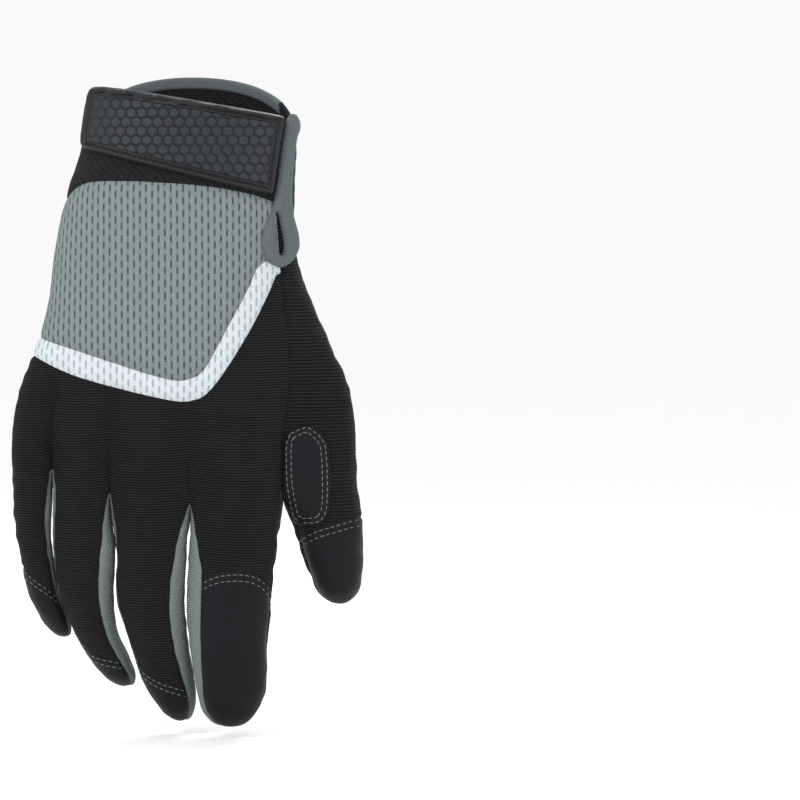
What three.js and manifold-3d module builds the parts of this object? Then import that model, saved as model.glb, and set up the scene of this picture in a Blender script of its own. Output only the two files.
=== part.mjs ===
// A right hand mechanic glove, held by the hand opening at its wrist.
// Millimetres. +Z points from the fingertips to the wrist, -Y is the back of the hand,
// +Y the palm and +X the thumb side. The origin lies in the hand opening at the wrist.

import * as THREE from 'three';
import Module from 'manifold-3d';
import { mergeVertices } from 'three/addons/utils/BufferGeometryUtils.js';

const wasm = await Module();
wasm.setup();

// Driving sizes
const palmWidth = 100;
const palmDepth = 34;
const handLength = 130;
const cuffHeight = 30;
const clearance = 0.4;
const knitWall = 1.4;
const meshWall = 1.8;
const leatherWall = 1.2;
const cuffWall = 2;
const bindingWall = 1.6;
const bindingWidth = 4.5;
const strapWall = 2.6;
const patchWall = 1.8;
const webSag = 3;
const fourchetteWall = 1.4;
const fourchetteInset = 0.3;
const webMargin = 2.4;
const webReach = 34;
const badgeRadius = 12.35;
const badgeWall = 2.4;
const lift = 0.3;

// Grid of the skin: intervals across each strip and down each stretch
const acrossStrip = 4;
const acrossSide = 3;
const downHand = 9;
const downFinger = 5;
const downTip = 5;

function table(columns, rows) {
  return rows.map((row) => Object.fromEntries(columns.map((name, place) => [name, row[place]])));
}

// Smooth curve through one column of a table, read at a place along its first column
function between(rows, column, at) {
  let k = 0;
  while (k < rows.length - 2 && at > rows[k + 1].at) k += 1;
  const here = rows[k];
  const next = rows[k + 1];
  const before = rows[Math.max(k - 1, 0)];
  const after = rows[Math.min(k + 2, rows.length - 1)];
  const span = next.at - here.at;
  const u = Math.min(Math.max((at - here.at) / span, 0), 1);
  const slopeHere = ((next[column] - before[column]) / (next.at - before.at)) * span;
  const slopeNext = ((after[column] - here[column]) / (after.at - here.at)) * span;
  const rise = next[column] - here[column];
  const bend = (3 * rise - 2 * slopeHere - slopeNext) * u * u;
  const twist = (slopeHere + slopeNext - 2 * rise) * u * u * u;
  return here[column] + slopeHere * u + bend + twist;
}

// Sections of the hand: at is the share of handLength below the origin, left and right are shares
// of palmWidth, depth is the half depth and lean the step of the thumb side to the palm, both as
// shares of palmDepth
const handSections = table(['at', 'left', 'right', 'depth', 'lean'], [
  [-0.24, -0.350, 0.395, 0.62, 0.00],
  [-0.10, -0.372, 0.410, 0.64, 0.00],
  [0.00, -0.390, 0.418, 0.65, 0.02],
  [0.12, -0.438, 0.412, 0.64, 0.05],
  [0.30, -0.485, 0.418, 0.62, 0.12],
  [0.44, -0.508, 0.475, 0.60, 0.22],
  [0.59, -0.560, 0.558, 0.57, 0.32],
  [0.71, -0.605, 0.617, 0.54, 0.36],
  [0.84, -0.641, 0.640, 0.50, 0.38],
  [1.00, -0.652, 0.650, 0.47, 0.38],
]);

// The four valleys between the fingers: across is a share of palmWidth at the crotch, wrist the same
// at the cuff edge, down a share of handLength, back and palm the valley's ends as shares of palmDepth
const valleys = table(['across', 'wrist', 'down', 'back', 'palm'], [
  [-0.499, -0.230, 0.921, -0.15, 0.22],
  [-0.282, -0.080, 0.989, -0.19, 0.22],
  [0.019, 0.080, 1.023, -0.20, 0.21],
  [0.366, 0.400, 0.981, -0.09, 0.42],
]);

// The seam between the back of the hand and the thumb panel, as shares of palmWidth
const thumbSeam = table(['at', 'across'], [
  [-0.24, 0.330],
  [0.20, 0.352],
  [0.35, 0.365],
  [0.48, 0.380],
  [0.63, 0.399],
  [0.72, 0.402],
  [0.81, 0.387],
  [0.93, 0.366],
]);

// Each finger: its length, half depth and curl to the palm are sizes. In its table at is the share of
// the length, left and right are shares of palmWidth, depth and curl shares of those sizes, and the
// last four columns are the seam angles in degrees, counted from the back of the hand
const fingerColumns = [
  'at', 'left', 'right', 'depth', 'curl', 'backLeft', 'backRight', 'palmLeft', 'palmRight',
];

const littleFinger = {
  name: 'little',
  length: 66,
  depth: 9.6,
  curl: 21,
  height: 0,
  capBack: 0.66,
  capPalm: 0.70,
  capSlope: 0.10,
  sections: table(fingerColumns, [
    [0.00, -0.652, -0.505, 1.00, 0.04, 105, 55, 105, 130],
    [0.20, -0.650, -0.506, 0.99, 0.08, 105, 50, 105, 130],
    [0.37, -0.643, -0.509, 0.98, 0.18, 105, 52, 105, 130],
    [0.58, -0.621, -0.497, 0.96, 0.38, 105, 55, 105, 125],
    [0.75, -0.597, -0.479, 0.95, 0.60, 105, 58, 105, 120],
    [0.88, -0.560, -0.448, 0.92, 0.80, 102, 64, 102, 115],
    [1.00, -0.522, -0.424, 0.88, 1.00, 100, 75, 100, 105],
  ]),
};

const ringFinger = {
  name: 'ring',
  length: 80,
  depth: 11.2,
  curl: 22,
  height: 0,
  capBack: 0.845,
  capPalm: 0.80,
  capSlope: 0.02,
  sections: table(fingerColumns, [
    [0.00, -0.496, -0.285, 1.00, 0.03, 60, 60, 140, 120],
    [0.12, -0.496, -0.276, 1.00, 0.05, 62, 42, 145, 118],
    [0.25, -0.502, -0.264, 1.00, 0.10, 70, 34, 147, 115],
    [0.50, -0.490, -0.275, 0.98, 0.28, 80, 30, 147, 112],
    [0.70, -0.444, -0.264, 0.95, 0.50, 80, 33, 145, 110],
    [0.84, -0.389, -0.222, 0.90, 0.72, 78, 32, 140, 108],
    [1.00, -0.315, -0.168, 0.84, 1.00, 80, 45, 125, 104],
  ]),
};

const middleFinger = {
  name: 'middle',
  length: 86,
  depth: 11.6,
  curl: 17,
  height: 0,
  capBack: 0.82,
  capPalm: 0.72,
  capSlope: 0.05,
  sections: table(fingerColumns, [
    [0.00, -0.279, 0.014, 1.00, 0.04, 60, 60, 140, 115],
    [0.12, -0.266, 0.000, 1.00, 0.05, 72, 44, 145, 112],
    [0.25, -0.259, 0.000, 0.99, 0.10, 78, 40, 147, 110],
    [0.45, -0.264, -0.005, 0.98, 0.26, 80, 34, 147, 108],
    [0.65, -0.215, 0.009, 0.95, 0.48, 80, 31, 145, 106],
    [0.80, -0.177, 0.028, 0.90, 0.70, 80, 36, 140, 104],
    [1.00, -0.098, 0.045, 0.82, 1.00, 82, 55, 125, 100],
  ]),
};

const indexFinger = {
  name: 'index',
  length: 87.5,
  depth: 12,
  curl: 5,
  height: 0,
  capBack: 0.31,
  capPalm: 0.60,
  capSlope: 0,
  sections: table(fingerColumns, [
    [0.00, 0.024, 0.366, 1.00, 0.20, 58, 62, 120, 110],
    [0.12, 0.013, 0.346, 0.99, 0.20, 48, 72, 116, 105],
    [0.30, 0.007, 0.334, 0.97, 0.26, 39, 78, 112, 100],
    [0.45, 0.002, 0.322, 0.95, 0.40, 38, 80, 110, 98],
    [0.65, 0.016, 0.308, 0.93, 0.60, 44, 82, 108, 96],
    [0.80, 0.035, 0.306, 0.89, 0.80, 52, 84, 106, 95],
    [1.00, 0.056, 0.276, 0.80, 1.00, 64, 86, 100, 92],
  ]),
};

const thumbFinger = {
  name: 'thumb',
  length: 44.5,
  depth: 13,
  curl: 6,
  height: 12.5,
  capBack: 0.30,
  capPalm: 0.42,
  capSlope: -0.10,
  sections: table(fingerColumns, [
    [0.00, 0.372, 0.645, 1.00, 0.00, 62, 118, 90, 118],
    [0.20, 0.394, 0.661, 0.98, 0.10, 62, 116, 90, 116],
    [0.45, 0.421, 0.667, 0.95, 0.35, 66, 112, 90, 112],
    [0.70, 0.458, 0.664, 0.91, 0.62, 72, 106, 90, 106],
    [0.86, 0.486, 0.655, 0.86, 0.82, 78, 100, 90, 100],
    [1.00, 0.512, 0.640, 0.80, 1.00, 84, 96, 90, 96],
  ]),
};

const fingers = [littleFinger, ringFinger, middleFinger, indexFinger, thumbFinger];
const tipShare = 0.80;
const tipPower = 2.7;
const crotchBlend = 0.35;
const sectionPower = 2.3;

// Heights of the cuff's rim and of its seam with the hand, as shares of cuffHeight above the origin,
// by the angle from the back of the hand in degrees
const cuffLines = table(['at', 'rim', 'seam'], [
  [-120, 0.66, -0.74],
  [-90, 0.50, -0.64],
  [-60, 0.62, -0.43],
  [-30, 0.60, -0.40],
  [0, 0.53, -0.44],
  [30, 0.46, -0.55],
  [60, 0.38, -0.72],
  [90, 0.36, -0.86],
  [120, 0.62, -0.80],
  [150, 0.84, -0.71],
  [180, 0.93, -0.65],
  [210, 0.86, -0.66],
  [240, 0.66, -0.74],
]);

function radians(degrees) {
  return (degrees * Math.PI) / 180;
}

function mix(from, to, share) {
  return from + (to - from) * share;
}

function signedPower(value, power) {
  return Math.sign(value) * Math.abs(value) ** power;
}

// A point of a rounded section, by its angle from the back of the hand in degrees
function sectionPoint(left, right, middle, depth, degrees) {
  const power = 2 / sectionPower;
  const across = signedPower(Math.sin(radians(degrees)), power);
  const up = signedPower(Math.cos(radians(degrees)), power);
  return { x: (left + right) / 2 + ((right - left) / 2) * across, y: middle - depth * up };
}

function fingerSection(finger, share) {
  const row = (column) => between(finger.sections, column, share);
  const past = Math.max(0, (share - tipShare) / (1 - tipShare));
  const dome = Math.max(0, 1 - past ** tipPower) ** (1 / tipPower);
  const centre = (row('left') + row('right')) / 2;
  const half = ((row('right') - row('left')) / 2) * dome;
  return {
    left: (centre - half) * palmWidth,
    right: (centre + half) * palmWidth,
    middle: finger.height + row('curl') * finger.curl,
    depth: row('depth') * finger.depth * dome,
    backLeft: row('backLeft'),
    backRight: row('backRight'),
    palmLeft: row('palmLeft'),
    palmRight: row('palmRight'),
  };
}

function partAngle(section, part, share) {
  if (part === 'back') return mix(-section.backLeft, section.backRight, share);
  if (part === 'right') return mix(section.backRight, section.palmRight, share);
  if (part === 'palm') return mix(section.palmRight, 360 - section.palmLeft, share);
  return mix(360 - section.palmLeft, 360 - section.backLeft, share);
}

function valleyDepth(place) {
  if (place < 0) return valleys[0].down - 0.008;
  if (place > 3) return valleys[3].down;
  return valleys[place].down;
}

function crotchHeight(number, part, share) {
  const left = -valleyDepth(number - 1) * handLength;
  const right = -valleyDepth(number) * handLength;
  const sag = webSag * 4 * share * (1 - share);
  if (part === 'back') return mix(left, right, share);
  if (part === 'palm') return mix(right, left, share);
  return part === 'right' ? right - sag : left - sag;
}

function valleyPoint(place, side) {
  const valley = valleys[place];
  return { x: valley.across * palmWidth, y: valley[side] * palmDepth };
}

// A point of a finger: number counts from the little finger, part is one of its four strips,
// share runs round that strip and along is the share of the finger's length
function fingerPoint(number, part, share, along) {
  const finger = fingers[number];
  const section = fingerSection(finger, along);
  const angle = partAngle(section, part, share);
  const point = sectionPoint(section.left, section.right, section.middle, section.depth, angle);
  const low = -(valleyDepth(number - 1) + valleyDepth(number)) * 0.5 * handLength - finger.length;
  const z = mix(crotchHeight(number, part, share), low, along);
  const hold = Math.max(0, 1 - along / crotchBlend) ** 2;
  const leftValley = number - 1;
  const rightValley = number < 4 ? number : -1;
  const pull = (place, side, weight, edgeAngle) => {
    if (place < 0) return;
    const goal = valleyPoint(place, side);
    const edge = sectionPoint(section.left, section.right, section.middle, section.depth, edgeAngle);
    point.x += (goal.x - edge.x) * weight * hold;
    point.y += (goal.y - edge.y) * weight * hold;
  };
  const near = Math.max(0, 2 * share - 1) ** 2;
  const far = Math.max(0, 1 - 2 * share) ** 2;
  if (part === 'back') {
    pull(rightValley, 'back', near, section.backRight);
    pull(leftValley, 'back', far, -section.backLeft);
  } else if (part === 'palm') {
    pull(leftValley, 'palm', near, 360 - section.palmLeft);
    pull(rightValley, 'palm', far, section.palmRight);
  } else {
    const place = part === 'right' ? rightValley : leftValley;
    if (place >= 0) {
      const along01 = part === 'right' ? share : 1 - share;
      const back = valleyPoint(place, 'back');
      const palm = valleyPoint(place, 'palm');
      point.x = mix(point.x, mix(back.x, palm.x, along01), hold);
      point.y = mix(point.y, mix(back.y, palm.y, along01), hold);
    }
  }
  return new THREE.Vector3(point.x, point.y, z);
}

// Angle of a valley line on the hand, found from how far across it lies
function handAngle(place, at) {
  const left = between(handSections, 'left', at);
  const right = between(handSections, 'right', at);
  if (place < 0) return -between(littleFinger.sections, 'backLeft', 0);
  if (place > 3) return between(thumbFinger.sections, 'backRight', 0);
  const valley = valleys[place];
  const down = Math.min(Math.max((at + 0.24) / (valley.down + 0.24), 0), 1);
  const across = place === 3 ? between(thumbSeam, 'across', at) : mix(valley.wrist, valley.across, down);
  const share = (across - (left + right) / 2) / ((right - left) / 2);
  const sine = signedPower(Math.min(Math.max(share, -0.999), 0.999), sectionPower / 2);
  return (Math.asin(sine) * 180) / Math.PI;
}

// A point of the hand: side is back or palm, number counts the strips from the little finger
function handPoint(number, side, share, z, toCrotch) {
  const at = -z / handLength;
  const from = handAngle(number - 1, at);
  const to = handAngle(number, at);
  let angle = mix(from, to, share);
  if (side === 'palm') {
    const right = number === 4 ? to : 180 - to;
    const left = number === 0 ? 360 + from : 180 - from;
    angle = mix(right, left, share);
  }
  const left = between(handSections, 'left', at) * palmWidth;
  const right = between(handSections, 'right', at) * palmWidth;
  const depth = between(handSections, 'depth', at) * palmDepth;
  const point = sectionPoint(left, right, 0, depth, angle);
  const lean = between(handSections, 'lean', at) * palmDepth;
  const toThumb = Math.min(Math.max((point.x - 0.1 * palmWidth) / (0.45 * palmWidth), 0), 1);
  point.y += lean * toThumb * toThumb * (3 - 2 * toThumb);
  const u = Math.min(Math.max((toCrotch - 0.45) / 0.55, 0), 1);
  const ease = u * u * (3 - 2 * u);
  const crotch = fingerPoint(number, side, share, 0);
  return new THREE.Vector3(mix(point.x, crotch.x, ease), mix(point.y, crotch.y, ease), z);
}

function cuffAngle(number, side, share) {
  const from = handAngle(number - 1, 0);
  const to = handAngle(number, 0);
  if (side === 'back') return mix(from, to, share);
  const angle = mix(number === 4 ? to : 180 - to, number === 0 ? 360 + from : 180 - from, share);
  return angle > 240 ? angle - 360 : angle;
}

// The skin is one welded mesh whose faces carry the name of their panel
const skin = { points: [], faces: [], panels: [], places: new Map() };

function skinPoint(point) {
  const key = [point.x, point.y, point.z].map((value) => Math.round(value * 1000)).join(' ');
  if (!skin.places.has(key)) {
    skin.places.set(key, skin.points.length);
    skin.points.push(point);
  }
  return skin.places.get(key);
}

function skinGrid(across, down, pointAt, panelAt) {
  const grid = [];
  for (let j = 0; j <= down; j += 1) {
    grid.push([]);
    for (let i = 0; i <= across; i += 1) grid[j].push(skinPoint(pointAt(i, j)));
  }
  for (let j = 0; j < down; j += 1) {
    for (let i = 0; i < across; i += 1) {
      const corners = [grid[j][i], grid[j][i + 1], grid[j + 1][i + 1], grid[j + 1][i]];
      [[0, 2, 1], [0, 3, 2]].forEach((order) => {
        const face = order.map((corner) => corners[corner]);
        if (new Set(face).size < 3) return;
        skin.faces.push(face);
        skin.panels.push(panelAt(i, j));
      });
    }
  }
}

const cuffRows = [
  { from: 'top', to: 'rim', steps: 1, panel: 'above' },
  { from: 'rim', to: 'binding', steps: 1, panel: 'rim' },
  { from: 'binding', to: 'seam', steps: 3, panel: 'cuff' },
];
const cuffSteps = cuffRows.reduce((sum, row) => sum + row.steps, 0);

function cuffHeightAt(line, angle) {
  if (line === 'top') return cuffHeight;
  if (line === 'rim') return between(cuffLines, 'rim', angle) * cuffHeight;
  if (line === 'binding') return between(cuffLines, 'rim', angle) * cuffHeight - bindingWidth;
  return between(cuffLines, 'seam', angle) * cuffHeight;
}

function cuffRow(j) {
  let step = j;
  for (const row of cuffRows) {
    if (step < row.steps) return { row, share: step / row.steps };
    step -= row.steps;
  }
  return { row: cuffRows[cuffRows.length - 1], share: 1 };
}

function buildHandStrip(number, side) {
  skinGrid(
    acrossStrip,
    cuffSteps + downHand,
    (i, j) => {
      const share = i / acrossStrip;
      const angle = cuffAngle(number, side, share);
      if (j <= cuffSteps) {
        const place = cuffRow(j);
        const z = mix(cuffHeightAt(place.row.from, angle), cuffHeightAt(place.row.to, angle), place.share);
        return handPoint(number, side, share, z, 0);
      }
      const toCrotch = (j - cuffSteps) / downHand;
      const z = mix(cuffHeightAt('seam', angle), crotchHeight(number, side, share), toCrotch);
      return handPoint(number, side, share, z, toCrotch);
    },
    (i, j) => {
      if (j < cuffSteps) return `${cuffRow(j).row.panel}_${side}`;
      if (side === 'palm') return 'palm';
      return number === 4 ? 'thumb_back' : 'back';
    },
  );
}

// Share along a finger of row j: the first stretch ends at the cap's seam, the second at the tip
function rowShare(finger, angle, j) {
  const palmward = (1 - Math.cos(radians(angle))) / 2;
  const slope = finger.capSlope * Math.sin(radians(angle));
  const seam = mix(finger.capBack, finger.capPalm, palmward) + slope;
  if (j <= downFinger) return (seam * j) / downFinger;
  const u = (j - downFinger) / downTip;
  return mix(seam, 1, u * (2 - u));
}

function buildFingerStrip(number, part) {
  const finger = fingers[number];
  const wide = part === 'back' || part === 'palm' ? acrossStrip : acrossSide;
  skinGrid(
    wide,
    downFinger + downTip,
    (i, j) => {
      const share = i / wide;
      const angle = partAngle(fingerSection(finger, 0.5), part, share);
      return fingerPoint(number, part, share, rowShare(finger, angle, j));
    },
    (i, j) => {
      const past = j >= downFinger;
      if (part === 'back') return past ? `cap_${finger.name}` : number === 4 ? 'thumb_back' : 'back';
      if (part === 'palm') return past && number > 1 ? `touch_${finger.name}` : 'palm';
      const valley = part === 'right' ? number : number - 1;
      return valley < 3 ? `fourchette_${valley}` : 'palm';
    },
  );
}

for (let number = 0; number < fingers.length; number += 1) {
  buildHandStrip(number, 'back');
  buildHandStrip(number, 'palm');
  buildFingerStrip(number, 'back');
  buildFingerStrip(number, 'palm');
  if (number < 4) buildFingerStrip(number, 'right');
  if (number > 0) buildFingerStrip(number, 'left');
}

// Normals of the whole skin, so that neighbouring panels share them along their seam
const normals = skin.points.map(() => new THREE.Vector3());
skin.faces.forEach(([a, b, c]) => {
  const [p, q, r] = [a, b, c].map((place) => skin.points[place]);
  const face = new THREE.Vector3().crossVectors(q.clone().sub(p), r.clone().sub(p));
  [a, b, c].forEach((place) => normals[place].add(face));
});
normals.forEach((normal) => normal.normalize());

// The part of the skin that carries one of the names, with its open edges drawn in by a margin
function panelSurface(names, margin) {
  const places = new Map();
  const surface = { points: [], normals: [], faces: [] };
  const placeOf = (old) => {
    if (!places.has(old)) {
      places.set(old, surface.points.length);
      surface.points.push(skin.points[old].clone());
      surface.normals.push(normals[old].clone());
    }
    return places.get(old);
  };
  skin.faces.forEach((face, number) => {
    if (names.includes(skin.panels[number])) surface.faces.push(face.map(placeOf));
  });
  const shift = surface.points.map(() => new THREE.Vector3());
  openEdges(surface.faces).forEach(([a, b]) => {
    const along = surface.points[b].clone().sub(surface.points[a]);
    [a, b].forEach((place) => {
      shift[place].add(new THREE.Vector3().crossVectors(surface.normals[place], along).normalize());
    });
  });
  surface.points.forEach((point, place) => {
    const step = typeof margin === 'function' ? margin(point) : margin;
    if (shift[place].lengthSq() > 0.01) point.addScaledVector(shift[place].normalize(), step);
  });
  return surface;
}

function openEdges(faces) {
  const edges = new Map();
  faces.forEach((face) => face.forEach((from, corner) => {
    const to = face[(corner + 1) % 3];
    if (edges.has(`${to} ${from}`)) edges.delete(`${to} ${from}`);
    else edges.set(`${from} ${to}`, [from, to]);
  }));
  return [...edges.values()];
}

// A wall between two offsets from a surface, closed along the surface's open edges
function wallGeometry(surface, inner, outer) {
  const count = surface.points.length;
  const values = [];
  [outer, inner].forEach((offset) => surface.points.forEach((point, place) => {
    const moved = point.clone().addScaledVector(surface.normals[place], offset);
    values.push(moved.x, moved.y, moved.z);
  }));
  const triangles = [];
  surface.faces.forEach(([a, b, c]) => {
    triangles.push(a, b, c);
    triangles.push(count + a, count + c, count + b);
  });
  openEdges(surface.faces).forEach(([a, b]) => {
    triangles.push(b, a, count + a);
    triangles.push(b, count + a, count + b);
  });
  const geometry = new THREE.BufferGeometry();
  geometry.setAttribute('position', new THREE.Float32BufferAttribute(values, 3));
  geometry.setIndex(triangles);
  return geometry;
}

// Solids for cuts and joins
function toSolid(geometry) {
  const vertProperties = new Float32Array(geometry.getAttribute('position').array);
  const triVerts = new Uint32Array(geometry.index.array);
  const mesh = new wasm.Mesh({ numProp: 3, vertProperties, triVerts });
  mesh.merge();
  return new wasm.Manifold(mesh);
}

function toGeometry(solid) {
  const mesh = solid.getMesh();
  const geometry = new THREE.BufferGeometry();
  geometry.setAttribute('position', new THREE.Float32BufferAttribute(mesh.vertProperties, 3));
  geometry.setIndex([...mesh.triVerts]);
  return geometry;
}

function wall(names, inner, outer, margin = clearance / 2) {
  return toSolid(wallGeometry(panelSurface(names, margin), inner, outer));
}

// The largest body of a solid, without the slivers that a cut can leave
function largest(solid) {
  return solid.decompose().sort((a, b) => b.volume() - a.volume())[0];
}

// The room that a panel takes with a margin round it
function room(names, inner, outer) {
  const margin = clearance / 4;
  return wall(names, inner - margin, outer + margin, clearance / 2 - margin);
}

const group = new THREE.Group();

function addPiece(name, solid, colour, roughness) {
  const shaded = toGeometry(solid).toNonIndexed();
  shaded.computeVertexNormals();
  const material = new THREE.MeshStandardMaterial({ color: colour, roughness, metalness: 0 });
  const mesh = new THREE.Mesh(shaded, material);
  mesh.name = name;
  group.add(mesh);
}

// An upright prism over an outline of [across, up] points seen from the back of the hand
function prism(outline, nearY, farY) {
  const shape = new THREE.Shape(outline.map(([x, z]) => new THREE.Vector2(x, z)));
  const geometry = new THREE.ExtrudeGeometry(shape, { depth: farY - nearY, bevelEnabled: false });
  geometry.rotateX(Math.PI / 2);
  geometry.translate(0, farY, 0);
  geometry.deleteAttribute('normal');
  geometry.deleteAttribute('uv');
  return toSolid(mergeVertices(geometry, 0.001));
}

// Outline points given as shares of palmWidth across and of handLength down
function outlineOf(rows) {
  return rows.map(([across, down]) => [across * palmWidth, -down * handLength]);
}

// The line between mesh and band, and the line between band and knit, from the little finger's side
const bandInner = outlineOf([
  [-0.75, 0.48], [-0.53, 0.546], [-0.372, 0.584], [-0.158, 0.639], [-0.019, 0.668],
  [0.053, 0.653], [0.090, 0.622], [0.173, 0.503], [0.241, 0.408], [0.290, 0.315],
]);
const bandOuter = outlineOf([
  [-0.75, 0.53], [-0.568, 0.593], [-0.447, 0.642], [-0.259, 0.685], [-0.011, 0.729],
  [0.068, 0.717], [0.124, 0.674], [0.196, 0.593], [0.267, 0.500], [0.327, 0.405], [0.357, 0.344],
]);
const seamClosed = [[0.357 * palmWidth, cuffHeight], [-0.75 * palmWidth, cuffHeight]];
const bandTop = [[0.357 * palmWidth, -0.30 * handLength], [0.357 * palmWidth, cuffHeight]];

function shifted(line, step) {
  return line.map(([x, z], place) => {
    const before = line[Math.max(place - 1, 0)];
    const after = line[Math.min(place + 1, line.length - 1)];
    const length = Math.hypot(after[0] - before[0], after[1] - before[1]);
    return [x + (step * (after[1] - before[1])) / length, z - (step * (after[0] - before[0])) / length];
  });
}

const half = clearance / 2;
const nearBack = -palmDepth * 1.5;
const palmOfBack = palmDepth * 1.5;
const handBack = wall(['back'], -knitWall, 0);
const meshBack = wall(['back'], -meshWall, 0);
const insideBand = [...shifted(bandInner, -half), ...seamClosed];
const pastInner = [...shifted(bandInner, half), ...seamClosed];
const insideOuter = [...shifted(bandOuter, -half), ...bandTop, seamClosed[1]];
const pastOuter = [...shifted(bandOuter, half), ...bandTop, seamClosed[1]];
const bandSolid = meshBack
  .intersect(prism(insideOuter, nearBack, palmOfBack))
  .subtract(prism(pastInner, nearBack, palmOfBack));
addPiece('mesh_panel', meshBack.intersect(prism(insideBand, nearBack, palmOfBack)), 0x84979a, 0.8);
addPiece('white_band', bandSolid, 0xdfe7ea, 0.7);
addPiece('knit_back', handBack.subtract(prism(pastOuter, nearBack, palmOfBack)), 0x1a1a1b, 0.9);
const palmRoom = room(['palm'], -leatherWall, 0);
const thumbBack = largest(wall(['thumb_back'], -knitWall, 0).subtract(palmRoom));
addPiece('thumb_knit', thumbBack, 0x1d1d1e, 0.9);
addPiece('palm_leather', wall(['palm'], -leatherWall, 0), 0x262627, 0.9);
addPiece('cuff_back', wall(['cuff_back', 'rim_back'], -cuffWall, 0), 0x1b191b, 0.9);
addPiece('cuff_palm', wall(['cuff_palm'], -cuffWall, 0), 0x1b191b, 0.9);
addPiece('cuff_binding', wall(['rim_palm'], -cuffWall, 0), 0x6b7376, 0.9);
fingers.forEach((finger) => {
  addPiece(`fingertip_cap_${finger.name}`, wall([`cap_${finger.name}`], -leatherWall, 0), 0x17181c, 0.8);
});
[middleFinger, indexFinger, thumbFinger].forEach((finger) => {
  addPiece(`touch_tip_${finger.name}`, wall([`touch_${finger.name}`], -leatherWall, 0), 0x1a1b1f, 0.7);
});
['little_ring', 'ring_middle', 'middle_index'].forEach((name, place) => {
  const web = -valleys[place].down * handLength;
  const margin = (point) => mix(webMargin, half, Math.min(Math.max((web - point.z) / webReach, 0), 1));
  const solid = wall([`fourchette_${place}`], -fourchetteWall, -fourchetteInset, margin);
  addPiece(`fourchette_${name}`, solid, 0x66706f, 0.9);
});

// What lies on the skin: a layer over the named panels, cut to an outline
function overlay(names, thickness, outline, farY = palmOfBack) {
  return largest(wall(names, lift, lift + thickness, 0).intersect(prism(outline, nearBack, farY)));
}

const bindingOutline = outlineOf([
  [0.380, -0.090], [0.338, 0.159], [0.300, 0.220], [0.286, 0.270], [0.305, 0.320], [0.361, 0.344],
  [0.405, 0.320], [0.425, 0.270], [0.391, 0.159], [0.410, -0.026], [0.429, -0.075], [0.406, -0.107],
]);
const slitOutline = outlineOf([[0.335, 0.180], [0.345, 0.290], [0.362, 0.310], [0.375, 0.280], [0.352, 0.180]]);
const backPanels = ['above_back', 'rim_back', 'cuff_back', 'back', 'thumb_back'];
const bindingSolid = overlay(backPanels, bindingWall, bindingOutline, 0)
  .subtract(prism(slitOutline, nearBack, palmOfBack));
addPiece('keyhole_binding', bindingSolid, 0x6b7376, 0.9);

const strapOutline = outlineOf([
  [-0.318, -0.185], [-0.343, -0.165], [-0.372, -0.02], [-0.360, 0.005], [0.328, 0.133], [0.370, -0.095],
]);
addPiece('wrist_strap', overlay(backPanels, strapWall, strapOutline), 0x23282d, 0.6);

const patchOutline = outlineOf([
  [-0.630, 0.920], [-0.585, 0.985], [-0.520, 0.960], [-0.485, 0.930], [-0.450, 0.985], [-0.340, 1.000],
  [-0.282, 0.965], [-0.220, 1.020], [-0.060, 1.025], [0.019, 0.980], [0.080, 1.030], [0.240, 1.030],
  [0.310, 0.964], [0.293, 0.828], [0.129, 0.773], [0.284, 0.714], [0.330, 0.670], [0.329, 0.602],
  [0.225, 0.382], [0.191, 0.305], [-0.039, 0.294], [-0.057, 0.341], [-0.003, 0.678], [-0.169, 0.288],
  [-0.365, 0.268], [-0.516, 0.635], [-0.088, 0.782], [-0.566, 0.758],
]);
addPiece('palm_patch', overlay(['palm'], patchWall, patchOutline), 0x2a2a2b, 0.9);

const crotchPatchOutline = outlineOf([
  [0.370, 0.820], [0.462, 0.787], [0.534, 0.836], [0.545, 0.905], [0.545, 1.046], [0.508, 1.088],
  [0.400, 1.088], [0.370, 0.960],
]);
addPiece('thumb_crotch_patch', overlay(['thumb_back'], leatherWall, crotchPatchOutline), 0x19191b, 0.8);

const badgeSides = 40;
const badgeOutline = [...Array(badgeSides).keys()].map((number) => {
  const turn = (2 * Math.PI * number) / badgeSides;
  return [0.049 * palmWidth + badgeRadius * Math.cos(turn), 0.177 * cuffHeight + badgeRadius * Math.sin(turn)];
});
addPiece('round_badge', overlay(['cuff_palm', 'rim_palm'], badgeWall, badgeOutline), 0x1c1c1d, 0.5);

export default group;
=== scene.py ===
# A right hand mechanic glove, dressed in cloth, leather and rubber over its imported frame.
# Lengths in the tables are shares of the sizes below, in millimetres; meshes are made in metres.
import math

import bpy
import numpy as np
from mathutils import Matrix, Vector, noise
from mathutils.bvhtree import BVHTree
from mathutils.kdtree import KDTree


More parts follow.
